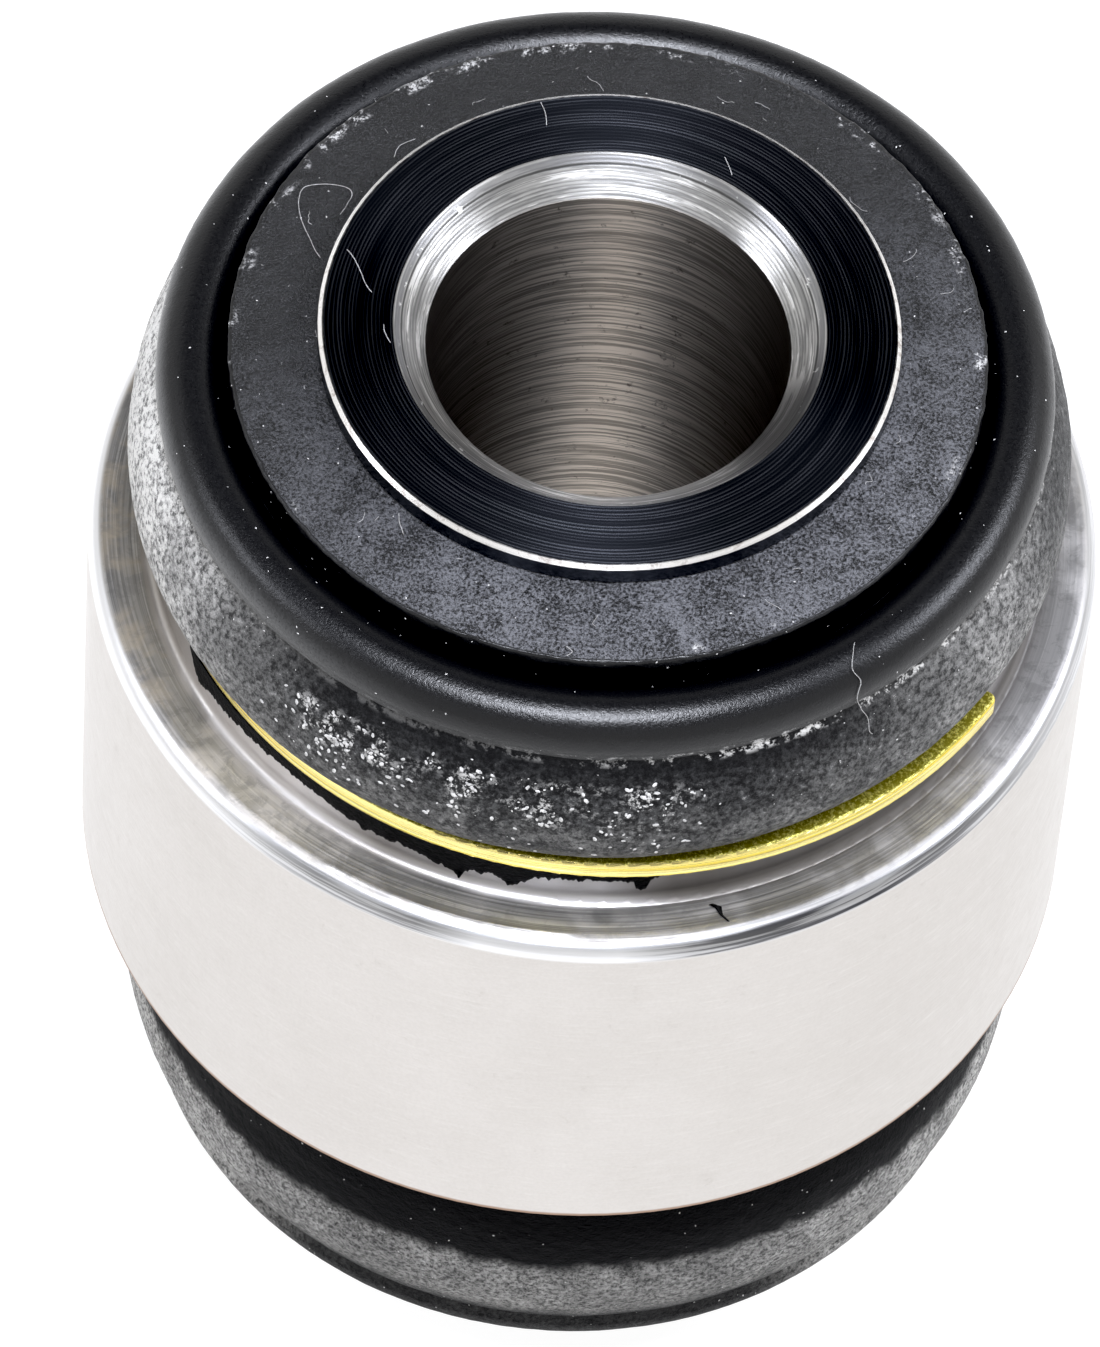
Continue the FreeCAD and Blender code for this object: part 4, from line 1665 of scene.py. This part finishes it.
@dataclass(frozen=True)
class PhotoCamera:
    """The photograph's camera, as fitted to the round edges of the bush."""

    elevation: float = 56.137
    roll: float = 4.748
    distance: float = 480.0
    focal: float = 11898.94
    aim: Point = (31.24, 4.805)
    centre_level: float = 0.78
    sensor: float = 36.0

    def build(self) -> bpy.types.Object:
        """Makes the camera and gives it to the scene.

        Returns:
            The camera.
        """
        elev, roll = math.radians(self.elevation), math.radians(self.roll)
        back = Vector((0.0, -math.cos(elev), math.sin(elev)))
        forward, right = -back, Vector((1.0, 0.0, 0.0))
        up = right.cross(forward)
        yaw, pitch = math.atan2(self.aim[0], self.focal), math.atan2(self.aim[1], self.focal)
        ahead = forward * math.cos(yaw) - right * math.sin(yaw)
        right = right * math.cos(yaw) + forward * math.sin(yaw)
        forward = ahead * math.cos(pitch) + up * math.sin(pitch)
        up = up * math.cos(pitch) - ahead * math.sin(pitch)
        turned_right = right * math.cos(roll) + up * math.sin(roll)
        turned_up = up * math.cos(roll) - right * math.sin(roll)
        data = bpy.data.cameras.new("photo_camera")
        data.sensor_width = self.sensor
        data.lens = self.focal / PHOTO_HEIGHT * self.sensor
        data.clip_start, data.clip_end = 0.01, 10.0
        camera = to_object("photo_camera", data)
        turn_matrix = Matrix((turned_right, turned_up, -forward)).transposed()
        place = (back * self.distance + Vector((0.0, 0.0, self.centre_level))) * MM
        camera.matrix_world = Matrix.Translation(place) @ turn_matrix.to_4x4()
        bpy.context.scene.camera = camera
        return camera


@dataclass(frozen=True)
class Studio:
    """White sweep, a bright low horizon and soft boxes round a dark ceiling.

    A soft box is a name, its place and its side in metres, and its power in watts.
    """

    floor_level: float = -25.4
    floor_half: float = 1.6
    horizon: float = 1.05
    ceiling: float = 0.05
    bright_to: float = 0.56
    dark_from: float = 0.76
    black_point: float = 0.008
    box_colour: Colour = (0.88, 0.91, 1.0)
    boxes: tuple[tuple[str, Triple, float, float], ...] = (
        ("overhead_box", (0.0, -0.15, 0.62), 0.26, 5.1),
        ("overhead_core", (0.0, -0.149, 0.616), 0.10, 1.0),
        ("right_box", (0.46, 0.08, 0.45), 0.24, 2.2),
        ("left_box", (-0.50, -0.06, 0.40), 0.24, 0.9),
    )

    def build(self) -> None:
        """Makes the floor, the sky and the lights."""
        half, level = self.floor_half / MM, self.floor_level
        corners = [(x * half, y * half, level) for x, y in ((-1, -1), (1, -1), (1, 1), (-1, 1))]
        mesh = mesh_from("floor", np.array(corners), [(0, 1, 2, 3)])
        mesh.materials.append(PaperFloor().material())
        to_object("floor", mesh)
        self.sky()
        for box in self.boxes:
            self.soft_box(*box)
        shown = bpy.context.scene.view_settings
        shown.view_transform = "Standard"
        shown.use_curve_mapping = True
        shown.curve_mapping.black_level = (self.black_point,) * 3
        shown.curve_mapping.update()

    def sky(self) -> None:
        """Makes the surroundings: bright near the horizon, dark overhead."""
        world = bpy.data.worlds.new("studio")
        bpy.context.scene.world = world
        world.use_nodes = True
        tree = Tree(world.node_tree)
        way = tree.add("ShaderNodeTexCoord").outputs["Generated"]
        up = tree.add("ShaderNodeSeparateXYZ", {0: way}).outputs[2]
        levels = dict(enumerate((up, self.bright_to, self.dark_from, self.horizon, self.ceiling)))
        fade = tree.add("ShaderNodeMapRange", levels, interpolation_type="SMOOTHSTEP").outputs[0]
        back = tree.add("ShaderNodeBackground", {"Strength": fade}).outputs[0]
        tree.add("ShaderNodeOutputWorld", {"Surface": back})

    def soft_box(self, name: str, place: Triple, size: float, power: float) -> None:
        """Hangs one soft box, facing the bush.

        Args:
            name: its name.
            place: where it hangs, in metres.
            size: its side, in metres.
            power: its power, in watts.
        """
        data = bpy.data.lights.new(name, "AREA")
        data.shape, data.size, data.energy = "DISK", size, power
        data.color = self.box_colour
        lamp = to_object(name, data)
        lamp.location = place
        lamp.rotation_euler = (-Vector(place)).to_track_quat("-Z", "Y").to_euler()


def dress(nodes: Iterable[str], material: bpy.types.Material) -> None:
    """Gives CAD nodes their finish.

    Args:
        nodes: the nodes' names.
        material: the finish.
    """
    for name in nodes:
        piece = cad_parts[name]
        if not piece.material_slots:
            piece.data.materials.append(material)
        for place in piece.material_slots:
            place.material = material
        log.info("dressed %s in %s", name, material.name)


def main() -> None:
    """Builds the classes in order and reports each piece."""
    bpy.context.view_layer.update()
    camera = PhotoCamera().build()
    log.info("camera %s looks through %.1f mm", camera.name, camera.data.lens)
    Studio().build()

    dress(["outer_housing"], HousingSteel().material())
    dress(["ball_sleeve"], SleeveSteel().material())
    dress(["upper_retaining_ring", "lower_retaining_ring"], YellowWire().material())
    turned = PlainFinish(
        "turned_ring_steel",
        (0.42, 0.41, 0.39),
        (0.55, 0.54, 0.52),
        rough=0.38,
        metallic=1.0,
        grain=3.0,
        depth=0.01,
    )
    seat = PlainFinish(
        "greased_seat_plastic", (0.80, 0.77, 0.70), (0.72, 0.68, 0.58), rough=0.45, grain=1.5, depth=0.01
    )
    dress(["closing_ring"], turned.material())
    dress(["bearing_shell"], seat.material())

    upper = Boot(Side.UPPER, tucks=((-42.0, 40.0, 0.3), (-150.0, 24.0, 0.16)), clusters=TALC_CLUSTERS)
    lower = Boot(
        Side.LOWER,
        foot_level=11.2,
        collar_level=10.15,
        sock_level=11.75,
        past_bead=13.1,
        inset=1.25,
        lean=0.28,
        wall_from=Zone.CLEFT + 0.2,
    )
    under = TalcedRubber(
        "lower_boot_wall_rubber",
        # Partly painted sheen: this wall's dust is also thicker at the sides round the axis.
        dust=((0.0, 0.60), (0.12, 0.45), (0.3, 0.27), (0.45, 0.32), (0.7, 0.26), (0.88, 0.45), (1.0, 0.60)),
        fineness=5.0,
        low_dust=0.0,
        shadow_until=14.7,
        crumbly=0.3,
        crease_dust=0.0,
        depth=0.15,
        gloss=0.08,
    )
    upper_skin = upper.build(BareRubber(), TalcedRubber())
    lower_skin = lower.build(BareRubber("lower_boot_top_rubber"), under)
    for piece in (upper_skin, lower_skin):
        log.info("built %s with %d faces", piece.name, len(piece.data.polygons))

    torn = PlainFinish("torn_film", (0.002,) * 3, (0.004,) * 3, grain=5.0, depth=0.05, gloss=0.08)
    film = NeckFilm().build(torn)
    log.info("built %s", film.name)

    dust = Dust()
    pale = PlainFinish("talc_flake", (0.66, 0.65, 0.64), (0.38, 0.375, 0.37), 0.9)
    flakes = dust.crumbs("talc_flakes", upper_skin, pale, "talc", dust.flake, dust.flakes_per_mm2)
    upper_specks = dust.crumbs("upper_specks", upper_skin, pale, "specks", dust.speck, dust.specks_per_mm2)
    lower_specks = dust.crumbs("lower_specks", lower_skin, pale, "specks", dust.speck, dust.specks_per_mm2)
    for piece, boot in ((flakes, upper), (upper_specks, upper), (lower_specks, lower)):
        boot.hang(piece)
        log.info("grew %s with %d faces", piece.name, len(piece.data.polygons))
    fibre = PlainFinish("lint_fibre", (0.40, 0.40, 0.40), (0.25, 0.24, 0.23), 0.8)
    lint = dust.lint(upper_skin, fibre)
    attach(lint, "boots")
    roof_fibres = StrayFibres("roof_fibres", ROOF_FIBRES).build(fibre)
    upper.hang(roof_fibres)
    face_fibres = StrayFibres("face_fibres", FACE_FIBRES).build(fibre)
    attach(face_fibres, "sleeve")
    for piece in (lint, roof_fibres, face_fibres):
        log.info("laid %s with %d faces", piece.name, len(piece.data.polygons))


if __name__ == "__main__":
    logging.basicConfig(level=logging.INFO, format="%(name)s: %(message)s")
    main()
